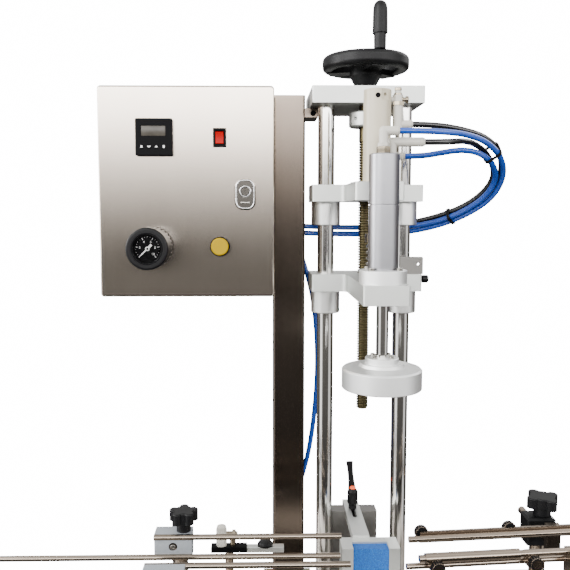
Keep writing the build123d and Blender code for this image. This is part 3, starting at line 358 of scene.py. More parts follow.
def make_finishes():
    """Every finish of the machine, by a maker's plain name."""
    return {
        # Door and box: vertical brush lines, so light smears sideways into level bands
        "box_sheet": brushed_stainless("Box sheet", "#BBB0A4", "#C3B9AD", (0.35, 0.35, 40), 0.2),
        # Post: the same steel, darker and warmer: painted shade, as the post stands in shadow
        "post_tube_painted_shade": brushed_stainless("Post tube, darkened by painted shade", "#5E554D", "#695F57", (0.35, 0.35, 60), 0.24),
        # Deck: folded sheet, brushed along its length, darkened as painted shade so that it shows dim in the
        # post and rods
        "deck_sheet_painted_shade": brushed_stainless("Deck sheet, darkened by painted shade", "#8C8882", "#98948E", (50, 0.4, 0.4), 0.42),
        # Columns and rods: mirror-like, with sharp dark and light streaks
        "ground_bar": polished_steel("Ground bar, hard chrome", "#CFCDCA", 0.12),
        # Painted shade: the rails' stainless darkened and browned to stand for the dim, warm surroundings
        # they reflect
        "rail_bar_painted_shade": polished_steel("Rail bar, drawn stainless darkened by painted shade", "#887C70", 0.2, 0.6),
        # Painted shade: the latch plate's chrome darkened to stand for the dark surroundings it reflects
        "latch_chrome_painted_shade": polished_steel("Latch plate, chrome darkened by painted shade", "#55524E", 0.2),
        "bright_chrome": polished_steel("Bright chrome plate", "#E0E0E0", 0.06),
        # Left guides: grey blocks on bright rods
        "rear_rods": rods_and_block("Rear rods and their block", REAR_ROW),
        "front_rods": rods_and_block("Front rods and their block", FRONT_ROW),
        # Plates, bushes and disc: pale, even and matt, the turned ones with a soft sheen
        "plate": satin_aluminium("Plate, anodised aluminium", "#C2C4C1", "#CCCECB", 0.46),
        "bush": satin_aluminium("Bush, turned aluminium", "#CCCDCB", "#D6D6D4", 0.34, (30, 30, 0.3)),
        "motor_case": satin_aluminium(
            "Motor case, turned aluminium", "#8C8C90", "#96969A", 0.34, (30, 30, 0.25)
        ),
        "guide_block": satin_aluminium("Guide block, grey anodised aluminium", "#6E6C69", "#7A7875", 0.5),
        "disc": satin_aluminium("Disc, turned aluminium", "#DADBDA", "#E2E3E2", 0.48, (0.5, 0.5, 30)),
        # Cylinder: smooth sprayed lacquer
        "lacquer": moulded_plastic("Cylinder tube, cream lacquer", "#A89F8A", "#B3AB97", 0.34, 2, 0.002),
        # Trapezoidal screw: oiled, brown-yellow steel
        "oiled_screw": satin_aluminium("Oiled screw steel", "#453F2C", "#5C543E", 0.3, (2, 2, 2)),
        # Small metal parts: sharp glints, the nickel's a little warm
        "nickel": polished_steel("Nickel-plated brass", "#8C8271", 0.26),
        "zinc_screw": polished_steel("Bright zinc screw", "#8F8C86", 0.26),
        "spring_wire": polished_steel("Spring wire", "#C6C6C6", 0.15),
        # Black mouldings: near black, with a dull sheen
        "black_nylon": moulded_plastic("Black nylon", "#050506", "#09090B", 0.42, gloss=0.17),
        "black_abs": moulded_plastic("Black ABS", "#040405", "#070709", 0.6, 0.3, 0.01, 0.07),
        # Fittings: waxy off-white
        "white_acetal": moulded_plastic("Fitting, off-white acetal", "#ABA89F", "#BBB8AF", 0.4, 1, 0.004),
        # Rocker and buttons: deep, even colour with a small highlight
        "red_lens": moulded_plastic("Rocker, red polycarbonate", "#8A0000", "#9C0200", 0.45, 3, 0.002, 0.12),
        "yellow_cap": moulded_plastic("Button, yellow ABS", "#907600", "#987E02", 0.6, 0.4, 0.01, 0.1),
        "orange_cap": moulded_plastic("Release button, orange ABS", "#E24A10", "#F05A18", 0.4),
        # Print and display: flat white marks, and a dim glossy window
        "white_paint": moulded_plastic("White print", "#E8E8E6", "#F4F4F2", 0.6),
        "display": moulded_plastic("Liquid crystal window", "#2E2B27", "#4A4640", 0.2, 9, 0.001, 0.2),
        # Feet and cap liner: dead matt
        "rubber": moulded_plastic("Black rubber", "#0C0C0C", "#141414", 0.75, 1.2, 0.05),
        # Hoses: saturated, with one long highlight
        "blue_tube": extruded_tube("Air hose, blue polyurethane", "#06307F", "#0E46A4"),
        "black_tube": extruded_tube("Air hose, black polyurethane", "#030304", "#070708"),
        # Holder's pad: dark blue with paler grains
        "blue_foam": foam_rubber("Pad, blue neoprene foam", "#022A62", "#0A58A6", "#2C78C0"),
        # Gauge: a clear pane over a matt dial
        "glass": clear_glass("Gauge glass"),
        "dial_black": moulded_plastic(
            "Dial, matt black enamel", "#040405", "#070709", 0.65, 0.5, 0.005, 0.07
        ),
    }


NODE_FINISHES = {
    "deck_sheet_painted_shade": ("base_deck",),
    "rubber": ("rubber_feet", "cap_liner"),
    "ground_bar": ("guide_columns", "piston_rod", "spindle_shaft"),
    "plate": ("top_plate", "screw_collar", "upper_bridge", "lower_carriage", "holder_arm"),
    "post_tube_painted_shade": ("rear_post",),
    "box_sheet": ("enclosure_body", "enclosure_door"),
    "bright_chrome": ("hinge_pins",),
    "guide_block": ("holder_post", "sensor_bracket"),
    "rail_bar_painted_shade": ("guide_stands", "guide_right_rear", "guide_right_front"),
    "black_nylon": (
        "clamp_block", "regulator_body", "regulator_knob", "handwheel", "handle_grip", "bracket_knob",
        "clamp_lever", "knob_left_rear", "knob_left_front", "knob_right_rear", "knob_right_front",
    ),
    "black_abs": ("timer_housing", "switch_bezel", "button_collar"),
    "latch_chrome_painted_shade": ("latch_plate", "latch_barrel"),
    "dial_black": ("gauge_case",),
    "glass": ("gauge_lens",),
    "red_lens": ("red_switch_cap",),
    "yellow_cap": ("yellow_button_cap",),
    "white_paint": ("gauge_needle",),
    "oiled_screw": ("screw_nut",),
    "bush": ("bridge_bushes", "carriage_bushes"),
    "lacquer": ("air_cylinder",),
    "white_acetal": ("cylinder_fittings", "motor_fittings"),
    "spring_wire": ("press_spring",),
    "disc": ("motor_flange", "capping_disc"),
    "motor_case": ("air_motor",),
    "blue_foam": ("holder_pad",),
    "rear_rods": ("guide_left_rear",),
    "front_rods": ("guide_left_front",),
}

finishes = {}


# Shapes


def placed(name, data):
    """A new object in the scene, with its data named after it."""
    data.name = name
    thing = bpy.data.objects.new(name, data)
    bpy.context.collection.objects.link(thing)
    return thing


def show_mesh(name, mesh, finish, body, smooth_angle=35):
    """Puts a mesh, or several as one, in the scene with its finish, riding on a body of the machine."""
    if isinstance(mesh, list):
        mesh = joined(mesh)
    mesh.shade_smooth()
    mesh.set_sharp_from_angle(angle=math.radians(smooth_angle))
    piece = placed(name, mesh)
    mesh.materials.append(finishes[finish])
    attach(piece, body)
    return piece


def stand_on(place, direction):
    """The matrix that carries a turned shape's base to place, with its axis along direction."""
    turn = UP.rotation_difference(Vector(direction)).to_matrix().to_4x4()
    return Matrix.Translation(Vector(place) * MM) @ turn


def add_ring(shape, reaches, height, middle=(0, 0)):
    """A ring of points at one height in mm, set evenly round the middle, each as far out as its reach."""
    ring = []
    for i, reach in enumerate(reaches):
        angle = 2 * math.pi * i / len(reaches)
        across, deep = middle[0] + reach * math.cos(angle), middle[1] + reach * math.sin(angle)
        ring.append(shape.verts.new((across, deep, height)))
    return ring


def corner_radius(angle, corners=0):
    """How far a regular polygon with flats at radius 1 reaches at this angle."""
    if not corners:
        return 1
    step = 2 * math.pi / corners
    return 1 / math.cos((angle + step / 2) % step - step / 2)


def skin(shape, rings, ends=True):
    """Joins each ring of points to the next with faces, and closes the two ends."""
    for low, high in zip(rings, rings[1:]):
        for i in range(len(low)):
            j = (i + 1) % len(low)
            shape.faces.new((low[i], low[j], high[j], high[i]))
    if ends:
        shape.faces.new(list(reversed(rings[0])))
        shape.faces.new(rings[-1])


def turned_mesh(profile, place, direction, segments=48, hollow=False):
    """A turned shape. Points of its profile are radius and height in mm, and corners if it has flats."""
    shape = bmesh.new()
    rings = []
    angles = [2 * math.pi * i / segments for i in range(segments)]
    for radius, height, *corners in profile:
        reaches = [radius * corner_radius(angle, *corners) for angle in angles]
        rings.append(add_ring(shape, reaches, height))
    if hollow:
        rings.append(rings[0])
    skin(shape, rings, not hollow)
    return shape_to_mesh(shape, stand_on(place, direction))


def joined(meshes):
    """One mesh out of several."""
    shape = bmesh.new()
    for mesh in meshes:
        shape.from_mesh(mesh)
        bpy.data.meshes.remove(mesh)
    whole = bpy.data.meshes.new("whole")
    shape.to_mesh(whole)
    shape.free()
    return whole


def cap_screw(radius, height):
    """Profile of a socket-head screw: its cylindrical head with a hexagon socket."""
    return [
        (radius, 0), (radius, height - 0.4), (radius - 0.4, height), (radius * 0.5, height, 6),
        (radius * 0.5, height * 0.4, 6),
    ]


def knurled_knob(radius, height, flutes):
    """A small moulded thumb screw head with grip flutes, standing on its base."""
    shape = bmesh.new()
    rings = []
    steps = flutes * 8
    levels = [(0.86, 0), (1, 0.12), (1, 0.82), (0.93, 0.96), (0.72, 1), (0.62, 0.8), (0.3, 0.8)]
    waves = [max(0, math.cos(flutes * 2 * math.pi * i / steps)) ** 2 for i in range(steps)]
    for share, level in levels:
        groove = 0.06 if share > 0.8 else 0
        reaches = [radius * (share - groove * wave) for wave in waves]
        rings.append(add_ring(shape, reaches, height * level))
    skin(shape, rings)
    return shape


def shape_to_mesh(shape, matrix=Matrix.Identity(4)):
    """Carries a shape drawn in millimetres to its place and turns it into a mesh."""
    shape.transform(matrix @ Matrix.Scale(MM, 4))
    bmesh.ops.recalc_face_normals(shape, faces=shape.faces)
    mesh = bpy.data.meshes.new("shape")
    shape.to_mesh(mesh)
    shape.free()
    return mesh


def block_shape(low, high):
    """A block between two corners in mm."""
    shape = bmesh.new()
    bmesh.ops.create_cube(shape, size=1)
    for vert in shape.verts:
        for axis in range(3):
            vert.co[axis] = high[axis] if vert.co[axis] > 0 else low[axis]
    return shape


def rounded_block(low, high, edge):
    """A block between two corners in mm, its edges rounded."""
    shape = block_shape(low, high)
    bmesh.ops.bevel(shape, geom=shape.edges[:], offset=edge, segments=3, affect="EDGES", profile=0.5)
    return shape_to_mesh(shape)


def route_mesh(points, radius):
    """A smooth line led by the route's points, as a round tube of this radius in mm."""
    curve = bpy.data.curves.new("route", "CURVE")
    curve.dimensions = "3D"
    spline = curve.splines.new("NURBS")
    spline.points.add(len(points) - 1)
    for point, place in zip(spline.points, points):
        point.co = (*[value * MM for value in place], 1)
    spline.order_u = 3
    spline.use_endpoint_u = True
    spline.resolution_u = 14
    curve.bevel_depth = radius * MM
    curve.bevel_resolution = 6
    curve.use_fill_caps = True
    return mesh_of_curve(curve)


def mesh_of_curve(curve):
    """The mesh that a curve draws."""
    holder = bpy.data.objects.new("holder", curve)
    mesh = bpy.data.meshes.new_from_object(holder)
    bpy.data.objects.remove(holder)
    return mesh


# Sizes and colours that a user would change


class HoseSettings(bpy.types.PropertyGroup):
    """Sizes of the air hoses and the ties round them."""

    diameter: bpy.props.FloatProperty(
        name="Hose diameter", description="Outer diameter of every air hose", default=0.008, unit="LENGTH"
    )
    tie_width: bpy.props.FloatProperty(
        name="Tie width", description="Width of the ties round the bundle", default=0.0045, unit="LENGTH"
    )


class ScrewSettings(bpy.types.PropertyGroup):
    """Sizes of the lead screw's thread."""

    pitch: bpy.props.FloatProperty(
        name="Thread pitch", description="Rise of the lead screw for one turn", default=0.004, unit="LENGTH"
    )
    depth: bpy.props.FloatProperty(
        name="Thread depth", description="From the thread's crest to its root", default=0.0022, unit="LENGTH"
    )


class StageSettings(bpy.types.PropertyGroup):
    """Floor and light of the studio."""

    floor_colour: bpy.props.FloatVectorProperty(
        name="Floor colour", description="Colour of the pale floor", subtype="COLOR", size=4,
        default=(0.9, 0.9, 0.9, 1.0),
    )
    key_power: bpy.props.FloatProperty(
        name="Key light", description="Power of the large soft light, in watts", default=60, min=0
    )


class MakeStage(bpy.types.Operator):
    """Makes the camera, the pale floor and the soft studio light"""

    bl_idname = "capping.make_stage"
    bl_label = "Stage"

    def execute(self, context):
        settings = context.scene.capping_stage
        camera = placed("camera", bpy.data.cameras.new("camera"))
        camera.location = CAMERA_PLACE
        camera.rotation_euler = (math.radians(90 - CAMERA_PITCH), 0, math.radians(-CAMERA_YAW))
        camera.data.sensor_width = 36
        camera.data.lens = CAMERA_LENS
        camera.data.shift_x, camera.data.shift_y = CAMERA_SHIFT
        camera.data.clip_end = 60
        context.scene.camera = camera
        self.make_floor(settings)
        self.make_world(context)
        for name, (place, size, share) in LAMPS.items():
            light = bpy.data.lights.new(name, "AREA")
            light.shape = "RECTANGLE"
            light.size, light.size_y = size
            light.energy = settings.key_power * share
            lamp = placed(name, light)
            lamp.location = place
            aim = Vector(LAMP_AIM) - Vector(place)
            lamp.rotation_euler = aim.to_track_quat("-Z", "Y").to_euler()
        return {"FINISHED"}

    def make_floor(self, settings):
        """A pale round of paper under the feet that fades into the backdrop."""
        shape = bmesh.new()
        bmesh.ops.create_circle(shape, cap_ends=True, segments=96, radius=FLOOR_RADIUS / MM)
        floor = placed("floor", shape_to_mesh(shape))
        floor.location = (FLOOR_MIDDLE_X, 0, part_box("rubber_feet")[0].z)
        floor.visible_glossy = False
        material, tree, place = start_material("Floor, pale paper")
        fibres = stretched_noise(tree, place, (3, 3, 3))
        reach = add_node(tree, "VectorMath", {"operation": "LENGTH"}, {0: place}).outputs["Value"]
        fade = {"Value": reach, "From Min": FLOOR_FADE[0], "From Max": FLOOR_FADE[1]}
        gone = add_node(tree, "MapRange", {"interpolation_type": "SMOOTHSTEP"}, fade)
        look = {
            "Base Color": tuple(settings.floor_colour),
            "Roughness": between(tree, fibres, 0.7, 0.85),
            "Specular IOR Level": 0.2,
        }
        paper = add_node(tree, "BsdfPrincipled", None, look)
        layers = {0: gone, 1: paper, 2: add_node(tree, "BsdfTransparent")}
        floor.data.materials.append(closed(material, "MixShader", layers))

    def make_world(self, context):
        """A soft light bank in front above eye level, dim warm walls, and a dark table below it."""
        world = bpy.data.worlds.new("studio")
        context.scene.world = world
        world.use_nodes = True
        tree = world.node_tree
        tree.nodes.clear()
        direction = add_node(tree, "TexCoord").outputs["Generated"]
        axes = add_node(tree, "SeparateXYZ", None, {0: direction}).outputs
        toward_viewer = add_node(tree, "Math", {"operation": "MULTIPLY"}, {0: axes["Y"], 1: -1})
        bearing = add_node(tree, "Math", {"operation": "ARCTAN2"}, {0: axes["X"], 1: toward_viewer})
        levels = {"Value": axes["Z"], "From Min": LOWEST_LIGHT, "From Max": HIGHEST_LIGHT}
        height = add_node(tree, "MapRange", None, levels)
        front_light = self.light_steps(tree, height, FRONT_LIGHT)
        side_light = self.light_steps(tree, height, SIDE_LIGHT)
        turned_away = add_node(tree, "Math", {"operation": "ABSOLUTE"}, {0: bearing})
        sector = {"Value": turned_away, "From Min": FRONT_SECTOR[0], "From Max": FRONT_SECTOR[1]}
        in_front = add_node(tree, "MapRange", {"interpolation_type": "SMOOTHSTEP"}, sector)
        lights = {0: in_front, 6: side_light, 7: front_light}
        room = add_node(tree, "Mix", {"data_type": "RGBA"}, lights).outputs[2]
        for middle, brightness in STRIP_LIGHTS:
            off = add_node(tree, "Math", {"operation": "SUBTRACT"}, {0: bearing, 1: middle})
            away = add_node(tree, "Math", {"operation": "ABSOLUTE"}, {0: off})
            edge = {"Value": away, "From Min": STRIP_EDGE[0], "From Max": STRIP_EDGE[1]}
            edge["To Max"] = brightness
            strip = add_node(tree, "MapRange", {"interpolation_type": "SMOOTHSTEP"}, edge)
            room = add_node(tree, "VectorMath", {"operation": "ADD"}, {0: room, 1: strip})
        surroundings = add_node(tree, "Background", None, {"Color": room, "Strength": 1})
        white = {"Color": (1, 1, 1, 1), "Strength": BACKDROP_BRIGHTNESS}
        backdrop = add_node(tree, "Background", None, white)
        seen = add_node(tree, "LightPath").outputs["Is Camera Ray"]
        both = add_node(tree, "MixShader", None, {0: seen, 1: surroundings, 2: backdrop})
        add_node(tree, "OutputWorld", None, {"Surface": both})

    def light_steps(self, tree, height, steps):
        """A colour that follows steps of height and brightness, warm where it is dim."""
        ramp = add_node(tree, "ValToRGB", None, {0: height})
        brightest = max(brightness for level, brightness in steps)
        elements = ramp.color_ramp.elements
        while len(elements) < len(steps):
            elements.new(1)
        for element, (level, brightness) in zip(elements, steps):
            element.position = (level - LOWEST_LIGHT) / (HIGHEST_LIGHT - LOWEST_LIGHT)
            white = min(1, brightness)
            share = brightness / brightest
            element.color = (share, share * (0.94 + 0.05 * white), share * (0.87 + 0.11 * white), 1)
        scale = {0: ramp, "Scale": brightest}
        return add_node(tree, "VectorMath", {"operation": "SCALE"}, scale)


class MakeHoses(bpy.types.Operator):
    """Lays the air hoses and the ties that bundle them"""

    bl_idname = "capping.make_hoses"
    bl_label = "Air hoses"

    def execute(self, context):
        settings = context.scene.capping_hoses
        paths = {}
        for name, points in HOSE_ROUTES.items():
            line = route_mesh(points, 0)
            paths[name] = [vert.co.copy() for vert in line.vertices]
            bpy.data.meshes.remove(line)
            mesh = route_mesh(points, settings.diameter / 2 / MM)
            mesh.shade_smooth()
            mesh.set_sharp_from_angle(angle=math.radians(50))
            hose = placed("hose_tube_" + name, mesh)
            colour = "black" if name.startswith("black") else "blue"
            mesh.materials.clear()
            mesh.materials.append(finishes[colour + "_tube"])
            if name.endswith("_motor"):
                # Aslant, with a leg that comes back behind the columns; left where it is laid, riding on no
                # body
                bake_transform(hose)
            elif name == "drop":
                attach(hose, "base")
            else:
                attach(hose, "bridge")
            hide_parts("hose_" + name)
        for number, middle in enumerate(TIE_PLACES):
            self.tie_bundle(number, Vector(middle) * MM, paths, settings)
        return {"FINISHED"}

    def tie_bundle(self, number, middle, paths, settings):
        """A strap round the four hoses where they pass near a point."""
        routes = [paths[name] for name in paths if name != "drop"]
        guide = routes[0]
        index = min(range(1, len(guide) - 1), key=lambda i: (guide[i] - middle).length)
        along = (guide[index + 1] - guide[index - 1]).normalized()
        side = along.cross(UP).normalized()
        rise = side.cross(along)
        outline = []
        for route in routes:
            crossing = min(
                route, key=lambda point: abs((point - middle).dot(along)) + 0.2 * (point - middle).length
            )
            flat = (crossing - middle).dot(side), (crossing - middle).dot(rise)
            for i in range(24):
                angle = math.pi * i / 12
                reach = (HOSE_RADIUS + 0.2) * MM
                outline.append((flat[0] + reach * math.cos(angle), flat[1] + reach * math.sin(angle)))
        hull = self.hull_of(outline)
        shape = bmesh.new()
        half = settings.tie_width / 2
        thick = 1.8 * MM
        centre = (sum(x for x, y in hull) / len(hull), sum(y for x, y in hull) / len(hull))
        rings = []
        for grow, shift in ((0, -half), (thick, -half), (thick, half), (0, half)):
            ring = []
            for x, y in hull:
                outward = Vector((x - centre[0], y - centre[1])).normalized()
                across = side * (x + outward.x * grow) + rise * (y + outward.y * grow)
                ring.append(shape.verts.new((middle + across + along * shift) / MM))
            rings.append(ring)
        skin(shape, rings + rings[:1], False)
        show_mesh(f"bundle_tie_{number}", shape_to_mesh(shape), "black_nylon", "bridge")

    def hull_of(self, points):
        """The outer outline of a set of flat points, anticlockwise."""
        ordered = sorted(set((round(x, 6), round(y, 6)) for x, y in points))
        halves = []
        for run in (ordered, ordered[::-1]):
            chain = []
            for point in run:
                while len(chain) > 1:
                    (ax, ay), (bx, by) = chain[-2:]
                    if (bx - ax) * (point[1] - ay) - (by - ay) * (point[0] - ax) > 0:
                        break
                    chain.pop()
                chain.append(point)
            halves.append(chain[:-1])
        return halves[0] + halves[1]


class FinishNodes(bpy.types.Operator):
    """Gives every solid of the machine its real finish"""

    bl_idname = "capping.finish_nodes"
    bl_label = "Finishes of the solids"

    def execute(self, context):
        for finish, names in NODE_FINISHES.items():
            for name in names:
                NODES[name].data.materials[0] = finishes[finish]
        return {"FINISHED"}


class MakeLeadScrew(bpy.types.Operator):
    """Cuts the trapezoidal thread of the lead screw"""

    bl_idname = "capping.make_lead_screw"
    bl_label = "Lead screw"

    def execute(self, context):
        settings = context.scene.capping_screw
        low, high = (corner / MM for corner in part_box("lead_screw"))
        pitch, depth = settings.pitch / MM, settings.depth / MM
        centre = (low + high) / 2
        crest = (high.x - low.x) / 2
        threaded_top = 700
        shape = bmesh.new()
        segments = 28
        height = low.z
        rings = []
        while height < threaded_top:
            lead_in = min(1, (height - low.z) / 2)
            reaches = []
            for i in range(segments):
                # Crest and root are flat, with a steep flank between them
                phase = ((height - low.z) / pitch - i / segments) % 1
                cut = min(max(abs(phase - 0.5) * 8 - 1, 0), 1)
                reaches.append((crest - depth * (1 - cut)) - (1 - lead_in) * 2 * cut)
            rings.append(add_ring(shape, reaches, height, centre))
            height += pitch / 10
        for level in (threaded_top, high.z):
            rings.append(add_ring(shape, [crest] * segments, level, centre))
        skin(shape, rings)
        mesh = shape_to_mesh(shape)
        thread = show_mesh("lead_screw_thread", mesh, "oiled_screw", "wheel", 25)
        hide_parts("lead_screw")
        return {"FINISHED"}


class MakeScrews(bpy.types.Operator):
    """Sets the socket-head screws that hold the machine together"""

    bl_idname = "capping.make_screws"
    bl_label = "Screws"

    def execute(self, context):
        flange_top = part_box("motor_flange")[1].z / MM
        hub_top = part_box("capping_disc")[1].z / MM
        plate_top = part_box("top_plate")[1].z / MM
        corners = [math.radians(90 * quarter + 45) for quarter in range(4)]
        flange_ring = [(25.5 * math.cos(a), 25.5 * math.sin(a), flange_top - 0.6) for a in corners]
        hub_ring = [(15 * math.cos(a), 15 * math.sin(a), hub_top) for a in corners]
        plate_row = [(x, 225, plate_top) for x in (-68, -30)]
        sets = {
            "flange_screws": ("carriage", cap_screw(4, 4), UP, flange_ring),
            "hub_screws": ("spindle", cap_screw(3, 3), UP, hub_ring),
            "plate_screws": ("base", cap_screw(4.2, 4), UP, plate_row),
            "rear_block_screws": ("rear_left_rail", cap_screw(3.6, 1.6), FORWARD, [(-283.5, 49, 121)]),
            "front_block_screws": ("front_left_rail", cap_screw(3.6, 1.6), FORWARD, [(-295, -60, 121)]),
            "lug_screw": ("base", cap_screw(4.2, 3.6), FORWARD, [(-77.5, 192, 744.5)]),
            "port_plug": ("bridge", cap_screw(3.4, 0.8), FORWARD, [(-2.3, 41.35, 747.3)]),
        }
        for name, (body, profile, direction, places) in sets.items():
            meshes = [turned_mesh(profile, place, direction, 24) for place in places]
            finish = "black_abs" if name in ("lug_screw", "port_plug") else "zinc_screw"
            show_mesh(name, meshes, finish, body)
        nut = [(11, 0, 6), (11, 6, 6), (9.5, 7.5), (5.2, 7.5), (5.2, 10), (4, 11)]
        wheel_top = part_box("lead_screw")[1].z / MM
        mesh = turned_mesh(nut, (0, COLUMN_AXIS_Y, wheel_top + 1), UP, 24)
        show_mesh("wheel_nut", mesh, "zinc_screw", "wheel")
        return {"FINISHED"}


class MakeTimer(bpy.types.Operator):
    """Dresses the timer with its window and its keys' symbols"""

    bl_idname = "capping.make_timer"
    bl_label = "Timer face"

    def execute(self, context):
        x, z = TIMER_PLACE
        low, high = (x - 17.6, TIMER_FRONT + 0.7, z + 1.4), (x + 16.6, TIMER_FRONT + 1.4, z + 15.6)
        window = rounded_block(low, high, 0.2)
        show_mesh("timer_window", window, "display", "door")
        key_x = [x - 17 + column * 10.4 for column in range(4)]
        key_z = z - 13.5
        # Bars of each key's symbol, from left and bottom to right and top
        symbols = [
            [(-1.8, -1.6, 1.8, -0.9), (-1.2, -0.9, 1.2, 1.6)],
            [(-2.2, -0.4, -0.5, 1), (0.5, -0.4, 2.2, 1), (-0.9, -1.2, 0.9, 0.1)],
            [(-1.6, -1, 1.6, 0.1), (-0.7, 0.1, 0.7, 1.2)],
            [(-1.2, -1.9, 1.2, 1), (-1.6, 1.2, 1.6, 1.8)],
        ]
        meshes = []
        for middle, bars in zip(key_x, symbols):
            for left, bottom, right, top in bars:
                low = (middle + left, TIMER_FRONT - 0.65, key_z + bottom)
                high = (middle + right, TIMER_FRONT - 0.35, key_z + top)
                meshes.append(rounded_block(low, high, 0.1))
        show_mesh("timer_symbols", meshes, "white_paint", "door")
        return {"FINISHED"}


class MakeGauge(bpy.types.Operator):
    """Prints the dial of the pressure gauge and sets its ring"""

    bl_idname = "capping.make_gauge"
    bl_label = "Pressure gauge"

    def execute(self, context):
        x, z = GAUGE_PLACE
        ticks = []
        for step in range(21):
            angle = math.radians(DIAL_START - step * DIAL_SWEEP / 20)
            long = step % 4 == 0
            inner, outer, half = (13.4, 16.6, 0.34) if long else (15.2, 16.6, 0.16)
            shape = block_shape((inner, -PRINT_DEPTH, -half), (outer, 0, half))
            turn = Matrix.Rotation(-angle, 4, "Y")
            middle = Matrix.Translation(Vector((x, DIAL_FACE, z)) * MM)
            ticks.append(shape_to_mesh(shape, middle @ turn))
        show_mesh("dial_marks", ticks, "white_paint", "door")
        for step in range(6):
            angle = math.radians(DIAL_START - step * DIAL_SWEEP / 5)
            text = bpy.data.curves.new(f"dial_number_{step}", "FONT")
            text.body = str(step * 2)
            text.size = 4.4 * MM
            text.align_x, text.align_y = "CENTER", "CENTER"
            text.extrude = 0.05 * MM
            number = placed(f"dial_number_{step}", text)
            across, up = 10.4 * math.cos(angle), 10.4 * math.sin(angle)
            number.location = Vector((x + across, DIAL_FACE - PRINT_DEPTH, z + up)) * MM
            number.rotation_euler = (math.pi / 2, 0, 0)
            text.materials.append(finishes["white_paint"])
            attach(number, "door")
        ring = [(20.4, 0), (21.5, 0), (21.5, 1), (20.9, 1.9), (20.2, 1.9), (19.4, 0.6), (19.4, 0)]
        mesh = turned_mesh(ring, (x, GAUGE_RING_BACK, z), FORWARD, 72, hollow=True)
        show_mesh("gauge_ring", mesh, "black_abs", "door")
        return {"FINISHED"}


class MakeLatch(bpy.types.Operator):
    """Raises the rim of the latch plate and the ring of its lock"""

    bl_idname = "capping.make_latch"
    bl_label = "Door latch"

    def execute(self, context):
        x, z = LATCH_PLACE
        front = LATCH_FRONT
        corner = 9.5
        half_width, half_height = 12.6, 19.8
        rim = []
        for turn, side, rise in ((0, 1, 1), (1, -1, 1), (2, -1, -1), (3, 1, -1)):
            for step in range(9):
                angle = math.radians(90 * turn + step * 11.25)
                rim.append((
                    x + side * (half_width - corner) + corner * math.cos(angle),
                    z + rise * (half_height - corner) + corner * math.sin(angle),
                ))
        curve = bpy.data.curves.new("latch_rim", "CURVE")
        curve.dimensions = "3D"
        spline = curve.splines.new("POLY")
        spline.points.add(len(rim) - 1)
        for point, (across, up) in zip(spline.points, rim):
            point.co = (across * MM, front * MM, up * MM, 1)
        spline.use_cyclic_u = True
        curve.bevel_depth = 1.1 * MM
        curve.bevel_resolution = 4
        show_mesh("latch_rim", mesh_of_curve(curve), "bright_chrome", "door")
        ring = [(6.2, -0.4), (8.6, -0.4), (8.6, 0.5), (7.9, 1.2), (6.8, 1.2), (6.2, 0.6)]
        mesh = turned_mesh(ring, (x, front, z + 4), FORWARD, hollow=True)
        show_mesh("lock_ring", mesh, "bright_chrome", "door")
        low, high = (x - 6.5, front - 1.3, z - 13.5), (x + 6.5, front + 0.3, z - 10.5)
        lip = rounded_block(low, high, 0.6)
        show_mesh("latch_lip", lip, "zinc_screw", "door")
        return {"FINISHED"}


class MakeRearSensor(bpy.types.Operator):
    """Stands the bottle sensor and its small bracket behind the left rear rail"""

    bl_idname = "capping.make_rear_sensor"
    bl_label = "Rear sensor"

    def execute(self, context):
        deck_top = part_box("rubber_feet")[1].z / MM + DECK_HEIGHT
        arm = rounded_block((-233, 86, 92.5), (-180, 102, 101), 0.8)
        rise = 92 - deck_top
        post = [(6, 0), (6, rise), (5.4, rise + 0.6)]
        stand = turned_mesh(post, (-206, SENSOR_ROW, deck_top), UP, 32)
        show_mesh("sensor_stand", stand, "rail_bar_painted_shade", "base")
        show_mesh("sensor_arm", arm, "black_abs", "base")
        bar = rounded_block((-182, 88, 91.5), (-125.5, 100, 99.5), 0.6)
        show_mesh("sensor_bar", bar, "plate", "base")
        head = [(9, 0), (11.4, 1.5), (11.4, 4.5), (9, 7.4), (4, 8.6)]
        knob = turned_mesh(head, (-153, SENSOR_ROW, 99), UP, 40)
        show_mesh("sensor_knob", knob, "black_nylon", "base")
        case = [
            (6.5, 0), (7.9, 0.8), (7.9, 9), (7, 9.4), (7, 11), (7.9, 11.4), (7.9, 25), (6.4, 30),
            (3.4, 31.5),
        ]
        sensor = turned_mesh(case, (-217.7, SENSOR_ROW, 100.5), UP, 40)
        show_mesh("sensor_case", sensor, "white_acetal", "base")
        elbow = [(4, 0), (5, 0.5), (5, 9), (6.2, 9.4, 6), (6.2, 14, 6), (4.6, 14.6), (4.6, 17)]
        side = turned_mesh(elbow, (-211, SENSOR_ROW, 117), RIGHT)
        stem = [(4.4, 0), (4.4, 12), (5.6, 12.6, 6), (5.6, 16.4, 6), (3.6, 17)]
        lower = turned_mesh(stem, (-201, SENSOR_ROW, 100.5), UP)
        show_mesh("sensor_elbow", [side, lower], "nickel", "base")
        return {"FINISHED"}


